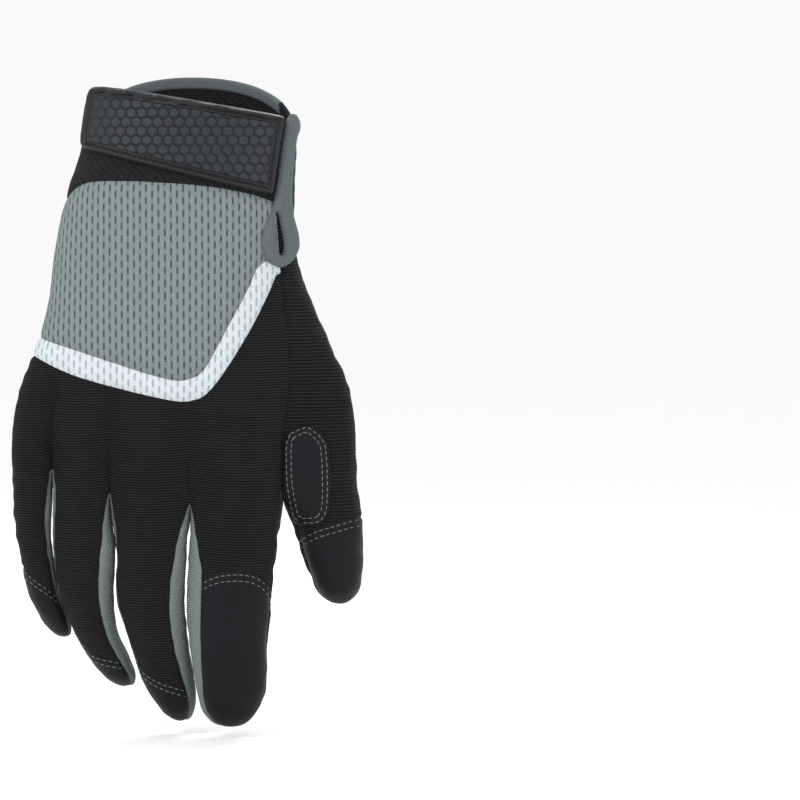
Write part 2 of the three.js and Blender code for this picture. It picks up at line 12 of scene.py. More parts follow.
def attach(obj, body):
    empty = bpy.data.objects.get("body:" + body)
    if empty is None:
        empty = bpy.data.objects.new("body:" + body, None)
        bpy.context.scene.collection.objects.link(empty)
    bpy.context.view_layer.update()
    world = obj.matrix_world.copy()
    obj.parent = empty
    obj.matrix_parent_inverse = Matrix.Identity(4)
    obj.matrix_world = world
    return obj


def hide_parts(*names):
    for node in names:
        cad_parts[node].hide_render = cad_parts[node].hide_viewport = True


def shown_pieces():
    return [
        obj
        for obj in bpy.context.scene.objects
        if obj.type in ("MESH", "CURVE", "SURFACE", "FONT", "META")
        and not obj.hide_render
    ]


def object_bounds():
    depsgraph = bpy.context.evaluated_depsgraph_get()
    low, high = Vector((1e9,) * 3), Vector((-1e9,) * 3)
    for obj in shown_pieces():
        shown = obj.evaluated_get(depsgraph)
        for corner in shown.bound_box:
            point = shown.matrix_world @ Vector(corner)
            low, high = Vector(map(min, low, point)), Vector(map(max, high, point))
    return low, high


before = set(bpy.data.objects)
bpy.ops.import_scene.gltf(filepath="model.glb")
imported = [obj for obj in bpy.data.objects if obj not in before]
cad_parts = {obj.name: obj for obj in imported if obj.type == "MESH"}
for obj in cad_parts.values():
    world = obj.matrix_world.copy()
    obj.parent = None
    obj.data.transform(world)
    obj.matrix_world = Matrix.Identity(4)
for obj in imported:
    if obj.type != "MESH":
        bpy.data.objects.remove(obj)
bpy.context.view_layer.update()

METRE = 0.001

# Camera: the back of the hand from the front, in the photograph's frame
glove_centre = Vector((0.0808, 0.0, -0.0940))
camera_distance = 1.6
VIEW_WIDTH = 0.3008
CAMERA_RAISED = 0.06
camera_data = bpy.data.cameras.new("camera")
camera_data.sensor_width = 36
camera_data.lens = camera_data.sensor_width * camera_distance / VIEW_WIDTH
camera = bpy.data.objects.new("camera", camera_data)
bpy.context.scene.collection.objects.link(camera)
camera.location = glove_centre + Vector((0, -camera_distance, CAMERA_RAISED))
camera.rotation_euler = (glove_centre - camera.location).to_track_quat("-Z", "Y").to_euler()
bpy.context.scene.camera = camera

# Driving sizes
palmWidth = 100
palmDepth = 34
handLength = 130
cuffHeight = 30
knitWall = 1.4
meshWall = 1.8
leatherWall = 1.2
cuffWall = 2
bindingWall = 1.6
bindingWidth = 4.5
webSag = 3
fourchetteWall = 1.4
badgeRadius = 12.35
lift = 0.3


def table(columns, rows):
    return [dict(zip(columns, row)) for row in rows]


# Sections of the hand: at is the share of handLength below the origin, left and right are shares
# of palmWidth, depth is the half depth and lean the step of the thumb side to the palm, both as
# shares of palmDepth
handSections = table(['at', 'left', 'right', 'depth', 'lean'], [
  [-0.24, -0.350, 0.395, 0.62, 0.00],
  [-0.10, -0.372, 0.410, 0.64, 0.00],
  [0.00, -0.390, 0.418, 0.65, 0.02],
  [0.12, -0.438, 0.412, 0.64, 0.05],
  [0.30, -0.485, 0.418, 0.62, 0.12],
  [0.44, -0.508, 0.475, 0.60, 0.22],
  [0.59, -0.560, 0.558, 0.57, 0.32],
  [0.71, -0.605, 0.617, 0.54, 0.36],
  [0.84, -0.641, 0.640, 0.50, 0.38],
  [1.00, -0.652, 0.650, 0.47, 0.38],
])

# The four valleys between the fingers: across is a share of palmWidth at the crotch, wrist the same
# at the cuff edge, down a share of handLength, back and palm the valley's ends as shares of palmDepth
valleys = table(['across', 'wrist', 'down', 'back', 'palm'], [
  [-0.499, -0.230, 0.921, -0.15, 0.22],
  [-0.282, -0.080, 0.989, -0.19, 0.22],
  [0.019, 0.080, 1.023, -0.20, 0.21],
  [0.366, 0.400, 0.981, -0.09, 0.42],
])

# The seam between the back of the hand and the thumb panel, as shares of palmWidth
thumbSeam = table(['at', 'across'], [
  [-0.24, 0.330],
  [0.20, 0.352],
  [0.35, 0.365],
  [0.48, 0.380],
  [0.63, 0.399],
  [0.72, 0.402],
  [0.81, 0.387],
  [0.93, 0.366],
])

# Each finger: its length, half depth and curl to the palm are sizes. In its table at is the share of
# the length, left and right are shares of palmWidth, depth and curl shares of those sizes, and the
# last four columns are the seam angles in degrees, counted from the back of the hand
fingerColumns = [
  'at', 'left', 'right', 'depth', 'curl', 'backLeft', 'backRight', 'palmLeft', 'palmRight',
]

littleFinger = {
  "name": 'little',
  "length": 66,
  "depth": 9.6,
  "curl": 21,
  "height": 0,
  "capBack": 0.66,
  "capPalm": 0.70,
  "capSlope": 0.10,
  "sections": table(fingerColumns, [
    [0.00, -0.652, -0.505, 1.00, 0.04, 105, 55, 105, 130],
    [0.20, -0.650, -0.506, 0.99, 0.08, 105, 50, 105, 130],
    [0.37, -0.643, -0.509, 0.98, 0.18, 105, 52, 105, 130],
    [0.58, -0.621, -0.497, 0.96, 0.38, 105, 55, 105, 125],
    [0.75, -0.597, -0.479, 0.95, 0.60, 105, 58, 105, 120],
    [0.88, -0.560, -0.448, 0.92, 0.80, 102, 64, 102, 115],
    [1.00, -0.522, -0.424, 0.88, 1.00, 100, 75, 100, 105],
  ]),
}

ringFinger = {
  "name": 'ring',
  "length": 80,
  "depth": 11.2,
  "curl": 22,
  "height": 0,
  "capBack": 0.845,
  "capPalm": 0.80,
  "capSlope": 0.02,
  "sections": table(fingerColumns, [
    [0.00, -0.496, -0.285, 1.00, 0.03, 60, 60, 140, 120],
    [0.12, -0.496, -0.276, 1.00, 0.05, 62, 42, 145, 118],
    [0.25, -0.502, -0.264, 1.00, 0.10, 70, 34, 147, 115],
    [0.50, -0.490, -0.275, 0.98, 0.28, 80, 30, 147, 112],
    [0.70, -0.444, -0.264, 0.95, 0.50, 80, 33, 145, 110],
    [0.84, -0.389, -0.222, 0.90, 0.72, 78, 32, 140, 108],
    [1.00, -0.315, -0.168, 0.84, 1.00, 80, 45, 125, 104],
  ]),
}

middleFinger = {
  "name": 'middle',
  "length": 86,
  "depth": 11.6,
  "curl": 17,
  "height": 0,
  "capBack": 0.82,
  "capPalm": 0.72,
  "capSlope": 0.05,
  "sections": table(fingerColumns, [
    [0.00, -0.279, 0.014, 1.00, 0.04, 60, 60, 140, 115],
    [0.12, -0.266, 0.000, 1.00, 0.05, 72, 44, 145, 112],
    [0.25, -0.259, 0.000, 0.99, 0.10, 78, 40, 147, 110],
    [0.45, -0.264, -0.005, 0.98, 0.26, 80, 34, 147, 108],
    [0.65, -0.215, 0.009, 0.95, 0.48, 80, 31, 145, 106],
    [0.80, -0.177, 0.028, 0.90, 0.70, 80, 36, 140, 104],
    [1.00, -0.098, 0.045, 0.82, 1.00, 82, 55, 125, 100],
  ]),
}

indexFinger = {
  "name": 'index',
  "length": 87.5,
  "depth": 12,
  "curl": 5,
  "height": 0,
  "capBack": 0.31,
  "capPalm": 0.60,
  "capSlope": 0,
  "sections": table(fingerColumns, [
    [0.00, 0.024, 0.366, 1.00, 0.20, 58, 62, 120, 110],
    [0.12, 0.013, 0.346, 0.99, 0.20, 48, 72, 116, 105],
    [0.30, 0.007, 0.334, 0.97, 0.26, 39, 78, 112, 100],
    [0.45, 0.002, 0.322, 0.95, 0.40, 38, 80, 110, 98],
    [0.65, 0.016, 0.308, 0.93, 0.60, 44, 82, 108, 96],
    [0.80, 0.035, 0.306, 0.89, 0.80, 52, 84, 106, 95],
    [1.00, 0.056, 0.276, 0.80, 1.00, 64, 86, 100, 92],
  ]),
}

thumbFinger = {
  "name": 'thumb',
  "length": 44.5,
  "depth": 13,
  "curl": 6,
  "height": 12.5,
  "capBack": 0.30,
  "capPalm": 0.42,
  "capSlope": -0.10,
  "sections": table(fingerColumns, [
    [0.00, 0.372, 0.645, 1.00, 0.00, 62, 118, 90, 118],
    [0.20, 0.394, 0.661, 0.98, 0.10, 62, 116, 90, 116],
    [0.45, 0.421, 0.667, 0.95, 0.35, 66, 112, 90, 112],
    [0.70, 0.458, 0.664, 0.91, 0.62, 72, 106, 90, 106],
    [0.86, 0.486, 0.655, 0.86, 0.82, 78, 100, 90, 100],
    [1.00, 0.512, 0.640, 0.80, 1.00, 84, 96, 90, 96],
  ]),
}

fingers = [littleFinger, ringFinger, middleFinger, indexFinger, thumbFinger]
tipShare = 0.80
tipPower = 2.7
crotchBlend = 0.35
sectionPower = 2.3

# Heights of the cuff's rim and of its seam with the hand, as shares of cuffHeight above the origin,
# by the angle from the back of the hand in degrees
cuffLines = table(['at', 'rim', 'seam'], [
  [-120, 0.66, -0.74],
  [-90, 0.50, -0.64],
  [-60, 0.62, -0.43],
  [-30, 0.60, -0.40],
  [0, 0.53, -0.44],
  [30, 0.46, -0.55],
  [60, 0.38, -0.72],
  [90, 0.36, -0.86],
  [120, 0.62, -0.80],
  [150, 0.84, -0.71],
  [180, 0.93, -0.65],
  [210, 0.86, -0.66],
  [240, 0.66, -0.74],
])


# The skin: one welded mesh of the whole glove, in millimetres, from the tables above
COLUMNS_STRIP = 26
COLUMNS_SIDE = 14
ROWS_HAND = 120
ROWS_FINGER = 46
ROWS_TIP = 40
CUFF_ROWS = [("top", "rim", 8, "above"), ("rim", "binding", 10, "rim"), ("binding", "seam", 40, "cuff")]
CUFF_STEPS = sum(row[2] for row in CUFF_ROWS)
LEAN_START = 0.1
LEAN_REACH = 0.45
EASE_START = 0.45


def mix(start, end, share):
    return start + (end - start) * share


def clamp(value, low=0.0, high=1.0):
    return min(max(value, low), high)


def signed_power(value, power):
    return math.copysign(abs(value) ** power, value)


def between(rows, column, at):
    """The smooth curve through one column of a table."""
    k = 0
    while k < len(rows) - 2 and at > rows[k + 1]["at"]:
        k += 1
    here, after = rows[k], rows[k + 1]
    before, last = rows[max(k - 1, 0)], rows[min(k + 2, len(rows) - 1)]
    span = after["at"] - here["at"]
    u = clamp((at - here["at"]) / span)
    slope_here = (after[column] - before[column]) / (after["at"] - before["at"]) * span
    slope_after = (last[column] - here[column]) / (last["at"] - here["at"]) * span
    rise = after[column] - here[column]
    bend = (3 * rise - 2 * slope_here - slope_after) * u * u
    twist = (slope_here + slope_after - 2 * rise) * u * u * u
    return here[column] + slope_here * u + bend + twist


def section_point(left, right, middle, depth, degrees):
    power = 2 / sectionPower
    angle = math.radians(degrees)
    across = signed_power(math.sin(angle), power)
    up = signed_power(math.cos(angle), power)
    return (left + right) / 2 + (right - left) / 2 * across, middle - depth * up


def finger_section(finger, share):
    row = {name: between(finger["sections"], name, share) for name in fingerColumns[1:]}
    past = max(0.0, (share - tipShare) / (1 - tipShare))
    dome = max(0.0, 1 - past ** tipPower) ** (1 / tipPower)
    centre = (row["left"] + row["right"]) / 2
    half = (row["right"] - row["left"]) / 2 * dome
    row["left"] = (centre - half) * palmWidth
    row["right"] = (centre + half) * palmWidth
    row["middle"] = finger["height"] + row["curl"] * finger["curl"]
    row["depth"] = row["depth"] * finger["depth"] * dome
    return row


def part_angle(section, part, share):
    if part == "back":
        return mix(-section["backLeft"], section["backRight"], share)
    if part == "right":
        return mix(section["backRight"], section["palmRight"], share)
    if part == "palm":
        return mix(section["palmRight"], 360 - section["palmLeft"], share)
    return mix(360 - section["palmLeft"], 360 - section["backLeft"], share)


def valley_depth(place):
    if place < 0:
        return valleys[0]["down"] - 0.008
    return valleys[min(place, 3)]["down"]


def crotch_height(number, part, share):
    left = -valley_depth(number - 1) * handLength
    right = -valley_depth(number) * handLength
    sag = webSag * 4 * share * (1 - share)
    if part == "back":
        return mix(left, right, share)
    if part == "palm":
        return mix(right, left, share)
    return (right if part == "right" else left) - sag


def valley_point(place, side):
    return valleys[place]["across"] * palmWidth, valleys[place][side] * palmDepth


def finger_point(number, part, share, along):
    finger = fingers[number]
    section = finger_section(finger, along)
    frame_of = (section["left"], section["right"], section["middle"], section["depth"])
    x, y = section_point(*frame_of, part_angle(section, part, share))
    low = -(valley_depth(number - 1) + valley_depth(number)) * 0.5 * handLength - finger["length"]
    z = mix(crotch_height(number, part, share), low, along)
    hold = max(0.0, 1 - along / crotchBlend) ** 2
    if hold == 0:
        return x, y, z
    left_valley = number - 1
    right_valley = number if number < 4 else -1
    near, far = max(0.0, 2 * share - 1) ** 2, max(0.0, 1 - 2 * share) ** 2
    if part == "back":
        pulls = [(right_valley, near, section["backRight"]), (left_valley, far, -section["backLeft"])]
    elif part == "palm":
        pulls = [(left_valley, near, 360 - section["palmLeft"]), (right_valley, far, section["palmRight"])]
    else:
        place = right_valley if part == "right" else left_valley
        down = share if part == "right" else 1 - share
        back, palm = valley_point(place, "back"), valley_point(place, "palm")
        x = mix(x, mix(back[0], palm[0], down), hold)
        y = mix(y, mix(back[1], palm[1], down), hold)
        return x, y, z
    for place, weight, angle in pulls:
        if place >= 0 and weight > 0:
            goal, edge = valley_point(place, part), section_point(*frame_of, angle)
            x += (goal[0] - edge[0]) * weight * hold
            y += (goal[1] - edge[1]) * weight * hold
    return x, y, z


def hand_angle(place, at):
    if place < 0:
        return -between(littleFinger["sections"], "backLeft", 0)
    if place > 3:
        return between(thumbFinger["sections"], "backRight", 0)
    left, right = between(handSections, "left", at), between(handSections, "right", at)
    valley = valleys[place]
    top = handSections[0]["at"]
    down = clamp((at - top) / (valley["down"] - top))
    across = between(thumbSeam, "across", at) if place == 3 else mix(valley["wrist"], valley["across"], down)
    share = clamp((across - (left + right) / 2) / ((right - left) / 2), -0.999, 0.999)
    return math.degrees(math.asin(signed_power(share, sectionPower / 2)))


def strip_angle(number, side, share, at):
    start, end = hand_angle(number - 1, at), hand_angle(number, at)
    if side == "back":
        return mix(start, end, share)
    return mix(end if number == 4 else 180 - end, 360 + start if number == 0 else 180 - start, share)


def hand_point(number, side, share, z, to_crotch):
    at = -z / handLength
    left = between(handSections, "left", at) * palmWidth
    right = between(handSections, "right", at) * palmWidth
    depth = between(handSections, "depth", at) * palmDepth
    x, y = section_point(left, right, 0, depth, strip_angle(number, side, share, at))
    to_thumb = clamp((x / palmWidth - LEAN_START) / LEAN_REACH)
    y += between(handSections, "lean", at) * palmDepth * to_thumb * to_thumb * (3 - 2 * to_thumb)
    u = clamp((to_crotch - EASE_START) / (1 - EASE_START))
    if u == 0:
        return x, y, z
    ease = u * u * (3 - 2 * u)
    crotch = finger_point(number, side, share, 0)
    return mix(x, crotch[0], ease), mix(y, crotch[1], ease), z


def cuff_angle(side, angle):
    """The angle as the cuff's table counts it, which ends at its last row."""
    return angle - 360 if side == "palm" and angle > cuffLines[-1]["at"] else angle


def cuff_line(line, angle):
    if line == "top":
        return cuffHeight
    if line == "seam":
        return between(cuffLines, "seam", angle) * cuffHeight
    return between(cuffLines, "rim", angle) * cuffHeight - (bindingWidth if line == "binding" else 0)


def cuff_row(step):
    for start, end, steps, panel in CUFF_ROWS:
        if step < steps:
            return start, end, step / steps, panel
        step -= steps
    return CUFF_ROWS[-1][0], CUFF_ROWS[-1][1], 1.0, CUFF_ROWS[-1][3]


points, coordinates, places, faces, labels = [], [], {}, [], []


def skin_grid(columns, rows, point_at, label_at, group, anchor):
    """A grid of the skin; each point keeps its place on the cloth of its group, across and along, in mm.
    Across is unrolled from the anchor column, so the weave isn't stretched where the skin turns away."""
    axis = 1 if group == "side" else 0
    way = 1 if point_at(columns, 0)[axis] > point_at(0, 0)[axis] else -1
    grid, last, along = [], None, [0.0] * (columns + 1)
    for j in range(rows + 1):
        row = [point_at(i, j) for i in range(columns + 1)]
        line = []
        for point in row:
            key = (round(point[0], 3), round(point[1], 3), round(point[2], 3))
            if key not in places:
                places[key] = len(points)
                points.append(point)
                coordinates.append({})
            line.append(places[key])
        base = base + row[anchor][axis] - last[anchor][axis] if j else row[anchor][axis]
        known = coordinates[line[anchor]].get(group)
        base = known[0] if known else base
        walked = [0.0]
        for before, after in zip(row, row[1:]):
            walked.append(walked[-1] + math.dist(before[:2], after[:2]))
        for i, place in enumerate(line):
            if j:
                along[i] += math.dist(row[i][1:], last[i][1:])
            spot = (base + way * (walked[i] - walked[anchor]), along[i])
            spot = coordinates[place].setdefault(group, spot)
            along[i] = along[i] if j else spot[1]
        grid.append(line)
        last = row
    for j in range(rows):
        for i in range(columns):
            face = [grid[j][i], grid[j + 1][i], grid[j + 1][i + 1], grid[j][i + 1]]
            face = list(dict.fromkeys(face))
            if len(face) > 2:
                faces.append(face)
                labels.append(label_at(i, j))


def hand_strip(number, side):
    def point_at(i, j):
        share = i / COLUMNS_STRIP
        angle = strip_angle(number, side, share, 0)
        angle = cuff_angle(side, angle)
        if j <= CUFF_STEPS:
            start, end, part, _ = cuff_row(j)
            z = mix(cuff_line(start, angle), cuff_line(end, angle), part)
            return hand_point(number, side, share, z, 0)
        down = (j - CUFF_STEPS) / ROWS_HAND
        z = mix(cuff_line("seam", angle), crotch_height(number, side, share), down)
        return hand_point(number, side, share, z, down)

    def label_at(i, j):
        if j < CUFF_STEPS:
            return cuff_row(j)[3] + "_" + side
        return "palm" if side == "palm" else "thumb_back" if number == 4 else "back"

    inner_column = COLUMNS_STRIP if (number == 0) == (side == "back") else 0
    skin_grid(COLUMNS_STRIP, CUFF_STEPS + ROWS_HAND, point_at, label_at, side, inner_column)


def row_share(finger, angle, j):
    palmward = (1 - math.cos(math.radians(angle))) / 2
    seam = mix(finger["capBack"], finger["capPalm"], palmward)
    seam += finger["capSlope"] * math.sin(math.radians(angle))
    if j <= ROWS_FINGER:
        return seam * j / ROWS_FINGER
    u = (j - ROWS_FINGER) / ROWS_TIP
    return mix(seam, 1, u * (2 - u))


def finger_strip(number, part):
    finger = fingers[number]
    columns = COLUMNS_STRIP if part in ("back", "palm") else COLUMNS_SIDE
    middle = finger_section(finger, 0.5)

    def point_at(i, j):
        share = i / columns
        return finger_point(number, part, share, row_share(finger, part_angle(middle, part, share), j))

    def label_at(i, j):
        past = j >= ROWS_FINGER
        if part == "back":
            return "cap_" + finger["name"] if past else "thumb_back" if number == 4 else "back"
        if part == "palm":
            return "touch_" + finger["name"] if past and number > 1 else "palm"
        valley = number if part == "right" else number - 1
        return f"fourchette_{valley}" if valley < 3 else "palm"

    group = part if part in ("back", "palm") else "side"
    skin_grid(columns, ROWS_FINGER + ROWS_TIP, point_at, label_at, group, columns // 2)


for number in range(5):
    hand_strip(number, "back")
    hand_strip(number, "palm")
for number in range(5):
    for part in ("back", "palm", "right", "left"):
        outside = (part == "right" and number == 4) or (part == "left" and number == 0)
        if not outside:
            finger_strip(number, part)

skin_points = np.array(points)
skin_normals = np.zeros_like(skin_points)
for face in faces:
    a, b, c = skin_points[face[0]], skin_points[face[1]], skin_points[face[2]]
    normal = np.cross(b - a, c - a)
    for place in face:
        skin_normals[place] += normal
skin_normals /= np.maximum(np.linalg.norm(skin_normals, axis=1, keepdims=True), 1e-9)


def panel(names):
    """The part of the skin that carries one of the names, as points, normals, cloth places and faces."""
    kept = [face for face, label in zip(faces, labels) if label in names]
    used = sorted({place for face in kept for place in face})
    group = "side" if "fourchette" in names[0] else "palm" if "palm" in names[0] else "back"
    renumber = {old: new for new, old in enumerate(used)}
    return {
        "points": skin_points[used],
        "normals": skin_normals[used],
        "cloth": np.array([coordinates[place].get(group, (0.0, 0.0)) for place in used]),
        "faces": [[renumber[place] for place in face] for face in kept],
    }


def open_edges(some_faces):
    edges = {}
    for face in some_faces:
        for start, end in zip(face, face[1:] + face[:1]):
            if (end, start) in edges:
                del edges[(end, start)]
            else:
                edges[(start, end)] = True
    return list(edges)


def clipped(surface, field):
    """The part of a surface where the field is above zero, cut along the field's zero line."""
    names = ("points", "normals", "cloth")
    columns = {name: list(surface[name]) for name in names}
    values = list(field)
    cuts, kept = {}, []

    def cut(a, b):
        key = (min(a, b), max(a, b))
        if key not in cuts:
            share = clamp(values[a] / (values[a] - values[b]), 0.002, 0.998)
            cuts[key] = len(values)
            for name in names:
                columns[name].append(columns[name][a] * (1 - share) + columns[name][b] * share)
            values.append(0.0)
        return cuts[key]

    for face in surface["faces"]:
        inside = [values[place] > 0 for place in face]
        if all(inside):
            kept.append(face)
        elif any(inside):
            ring = []
            for place, after in zip(face, face[1:] + face[:1]):
                if values[place] > 0:
                    ring.append(place)
                if (values[place] > 0) != (values[after] > 0):
                    ring.append(cut(place, after) if values[place] > 0 else cut(after, place))
            if len(ring) > 2:
                kept.append(ring)
    used = sorted({place for face in kept for place in face})
    renumber = {old: new for new, old in enumerate(used)}
    result = {name: np.array([columns[name][place] for place in used]) for name in names}
    result["faces"] = [[renumber[place] for place in face] for face in kept]
    result["field"] = np.array([values[place] for place in used])
    return result


def edge_distance(surface):
    """How far each point lies from the surface's open edges, in mm."""
    rim = sorted({place for edge in open_edges(surface["faces"]) for place in edge})
    tree = KDTree(len(rim))
    for number, place in enumerate(rim):
        tree.insert(Vector(surface["points"][place]), number)
    tree.balance()
    return np.array([tree.find(Vector(point))[2] for point in surface["points"]])


def outline_of(rows):
    return [(across * palmWidth, -down * handLength) for across, down in rows]


def rounded(outline, rounds=3):
    """An outline with its corners cut to soft curves."""
    for _ in range(rounds):
        softer = []
        for a, b in zip(outline, outline[1:] + outline[:1]):
            softer.append((a[0] * 0.8 + b[0] * 0.2, a[1] * 0.8 + b[1] * 0.2))
            softer.append((a[0] * 0.2 + b[0] * 0.8, a[1] * 0.2 + b[1] * 0.8))
        outline = softer
    return outline


def inside_distance(outline, places_xz):
    """Signed distance to a closed outline, above zero inside, for points across and up."""
    ends = np.array(outline)
    starts = np.roll(ends, 1, axis=0)
    best = np.full(len(places_xz), 1e9)
    inside = np.zeros(len(places_xz), bool)
    px, pz = places_xz[:, 0], places_xz[:, 1]
    for (ax, az), (bx, bz) in zip(starts, ends):
        dx, dz = bx - ax, bz - az
        share = np.clip(((px - ax) * dx + (pz - az) * dz) / max(dx * dx + dz * dz, 1e-9), 0, 1)
        best = np.minimum(best, np.hypot(px - ax - share * dx, pz - az - share * dz))
        crosses = (az > pz) != (bz > pz)
        with np.errstate(divide="ignore", invalid="ignore"):
            at = ax + (pz - az) * dx / (dz if dz else 1e-9)
        inside ^= crosses & (px < at)
    return np.where(inside, best, -best)


def refined(surface):
    """Each face split at its middle and the middles of its sides."""
    names = [name for name in ("points", "normals", "cloth", "field") if name in surface]
    columns = {name: list(surface[name]) for name in names}
    middles, split = {}, []

    def middle(group):
        key = tuple(sorted(group))
        if key not in middles:
            middles[key] = len(columns["points"])
            for name in names:
                columns[name].append(sum(columns[name][place] for place in group) / len(group))
        return middles[key]

    for face in surface["faces"]:
        centre = middle(face)
        sides = [middle((a, b)) for a, b in zip(face, face[1:] + face[:1])]
        for number, place in enumerate(face):
            split.append([place, sides[number], centre, sides[number - 1]])
    result = {name: np.array(columns[name]) for name in names}
    result["faces"] = split
    return result


def linked(name, data):
    """A new object in the scene."""
    made = bpy.data.objects.new(name, data)
    bpy.context.scene.collection.objects.link(made)
    return made


def cloth_piece(name, surface, outer, inner, material, nodes=()):
    """A closed piece between two offsets from a surface; outer and inner are mm, single or per point."""
    count = len(surface["points"])
    outer = np.broadcast_to(outer, count)[:, None]
    inner = np.broadcast_to(inner, count)[:, None]
    top = surface["points"] + surface["normals"] * outer
    bottom = surface["points"] + surface["normals"] * inner
    all_faces = [list(face) for face in surface["faces"]]
    all_faces += [[count + place for place in reversed(face)] for face in surface["faces"]]
    for start, end in open_edges(surface["faces"]):
        all_faces.append([end, start, count + start, count + end])
    mesh = bpy.data.meshes.new(name)
    mesh.from_pydata((np.vstack([top, bottom]) * METRE).tolist(), [], all_faces)
    layer = mesh.uv_layers.new(name="cloth")
    corner_places = np.zeros(len(mesh.loops), int)
    mesh.loops.foreach_get("vertex_index", corner_places)
    layer.data.foreach_set("uv", surface["cloth"][corner_places % count].astype(float).ravel())
    mesh.polygons.foreach_set("use_smooth", [True] * len(mesh.polygons))
    mesh.materials.append(material)
    piece = linked(name, mesh)
    mesh.set_sharp_from_angle(angle=math.radians(50))
    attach(piece, "root")
    if nodes:
        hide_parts(*nodes)
    return piece


def creases(surface, height, size):
    """Soft wrinkles of the cloth, in mm."""
    return np.array([
        height * noise.noise(Vector((x / size, y / size, z / (size * 0.6))))
        for x, y, z in surface["points"]
    ])


# Small helpers for material nodes
def colour(code):
    """A six digit sRGB code as linear red, green, blue and alpha."""
    values = [int(code[place:place + 2], 16) / 255 for place in (0, 2, 4)]
    linear = [v / 12.92 if v <= 0.04045 else ((v + 0.055) / 1.055) ** 2.4 for v in values]
    return (*linear, 1.0)


def add_node(tree, kind, inputs=(), **settings):
    node = tree.nodes.new(kind)
    for name, value in settings.items():
        setattr(node, name, value)
    for socket, value in dict(inputs).items():
        if isinstance(value, bpy.types.NodeSocket):
            tree.links.new(value, node.inputs[socket])
        else:
            node.inputs[socket].default_value = value
    return node


def maths(tree, operation, *values):
    return add_node(tree, "ShaderNodeMath", dict(enumerate(values)), operation=operation).outputs[0]


def new_material(name, roughness, sheen=0.0, specular=0.12):
    material = bpy.data.materials.new(name)
    material.use_nodes = True
    shader = material.node_tree.nodes["Principled BSDF"]
    shader.inputs["Roughness"].default_value = roughness
    shader.inputs["Sheen Weight"].default_value = sheen
    shader.inputs["Specular IOR Level"].default_value = specular
    return material, material.node_tree, shader


def cloth_place(tree):
    """Across and along the cloth, in millimetres."""
    place = add_node(tree, "ShaderNodeUVMap", uv_map="cloth")
    parts = add_node(tree, "ShaderNodeSeparateXYZ", {0: place.outputs[0]})
    return parts.outputs[0], parts.outputs[1]


def grain(tree, size, detail=3.0):
    """Noise whose features are about size millimetres wide."""
    place = add_node(tree, "ShaderNodeTexCoord").outputs["Object"]
    scale = 1000.0 / size
    return add_node(
        tree, "ShaderNodeTexNoise", {"Vector": place, "Scale": scale, "Detail": detail},
    ).outputs["Fac"]


def wave(tree, value, pitch, shift=0.0):
    """A wave from 0 to 1 along a value in millimetres."""
    angle = maths(tree, "MULTIPLY_ADD", value, 2 * math.pi / pitch, shift)
    return maths(tree, "MULTIPLY_ADD", maths(tree, "SINE", angle), 0.5, 0.5)


def add_bump(tree, shader, height, depth, strength):
    inputs = {"Height": height, "Distance": depth * METRE, "Strength": strength}
    bump = add_node(tree, "ShaderNodeBump", inputs)
    tree.links.new(bump.outputs[0], shader.inputs["Normal"])


def finish_material(tree, shader, height, dark, light, depth, fleck=0.12, fleck_size=9.0):
    """Colour from dark to light by height, with slow flecks of random tone, and a bump of that depth in mm.
    Where the height follows ribs, cells or grooves, the dark colour in the hollows is painted shade and the
    light colour on the tops is painted light.
    """
    patchy = maths(tree, "MULTIPLY_ADD", grain(tree, fleck_size), fleck, -fleck / 2)
    share = maths(tree, "ADD", height, patchy)
    # The mix by height paints shade into the hollows of a relief and light onto its tops; the flecks are
    # random tone
    blend = add_node(tree, "ShaderNodeMix", {0: share}, data_type="RGBA")
    blend.inputs[6].default_value = colour(dark)
    blend.inputs[7].default_value = colour(light)
    tree.links.new(blend.outputs[2], shader.inputs["Base Color"])
    add_bump(tree, shader, height, depth, 1.0)


def ribbed_knit(name, dark, light, pitch, stitch=0.9, depth=0.35):
    """Ribs across the cloth, each a row of short knit cells, coloured with painted shade between the ribs
    and cells and painted light on their tops.
    """
    material, tree, shader = new_material(name, 0.86, 0.02)
    across, along = cloth_place(tree)
    wobble = maths(tree, "MULTIPLY_ADD", grain(tree, 5.0), 0.5, along)
    rib = wave(tree, wobble, pitch)
    row = maths(tree, "FLOOR", maths(tree, "DIVIDE", wobble, pitch))
    shift = maths(tree, "MULTIPLY", row, stitch * 0.5)
    cell = wave(tree, maths(tree, "ADD", across, shift), stitch)
    height = maths(tree, "MULTIPLY", rib, maths(tree, "MULTIPLY_ADD", cell, 0.45, 0.55))
    fibre = maths(tree, "MULTIPLY_ADD", grain(tree, 0.35, 2.0), 0.35, -0.17)
    # The relief's height sets the colour: painted shade in its hollows and painted light on its tops, with
    # random fibre tone
    finish_material(tree, shader, maths(tree, "ADD", height, fibre), dark, light, depth)
    return material


def basket_knit(name, dark, light, pitch=1.7):
    """Small blocks of upright and level ribs in turn, with painted shade between the ribs and painted light
    on their tops.
    """
    material, tree, shader = new_material(name, 0.88, 0.02)
    across, along = cloth_place(tree)
    block = maths(tree, "ADD", maths(tree, "FLOOR", maths(tree, "DIVIDE", across, pitch)),
                  maths(tree, "FLOOR", maths(tree, "DIVIDE", along, pitch)))
    odd = maths(tree, "FLOORED_MODULO", block, 2.0)
    level = wave(tree, along, pitch / 2)
    upright = wave(tree, across, pitch / 2)
    lift_odd = maths(tree, "MULTIPLY", odd, level)
    lift_even = maths(tree, "MULTIPLY", maths(tree, "SUBTRACT", 1.0, odd), upright)
    fibre = maths(tree, "MULTIPLY_ADD", grain(tree, 0.4, 2.0), 0.4, -0.2)
    height = maths(tree, "ADD", maths(tree, "ADD", lift_odd, lift_even), fibre)
    # The colour by height is painted shade in the hollows and painted light on the ribs, with random fibre
    # tone
    finish_material(tree, shader, height, dark, light, 0.3)
    return material


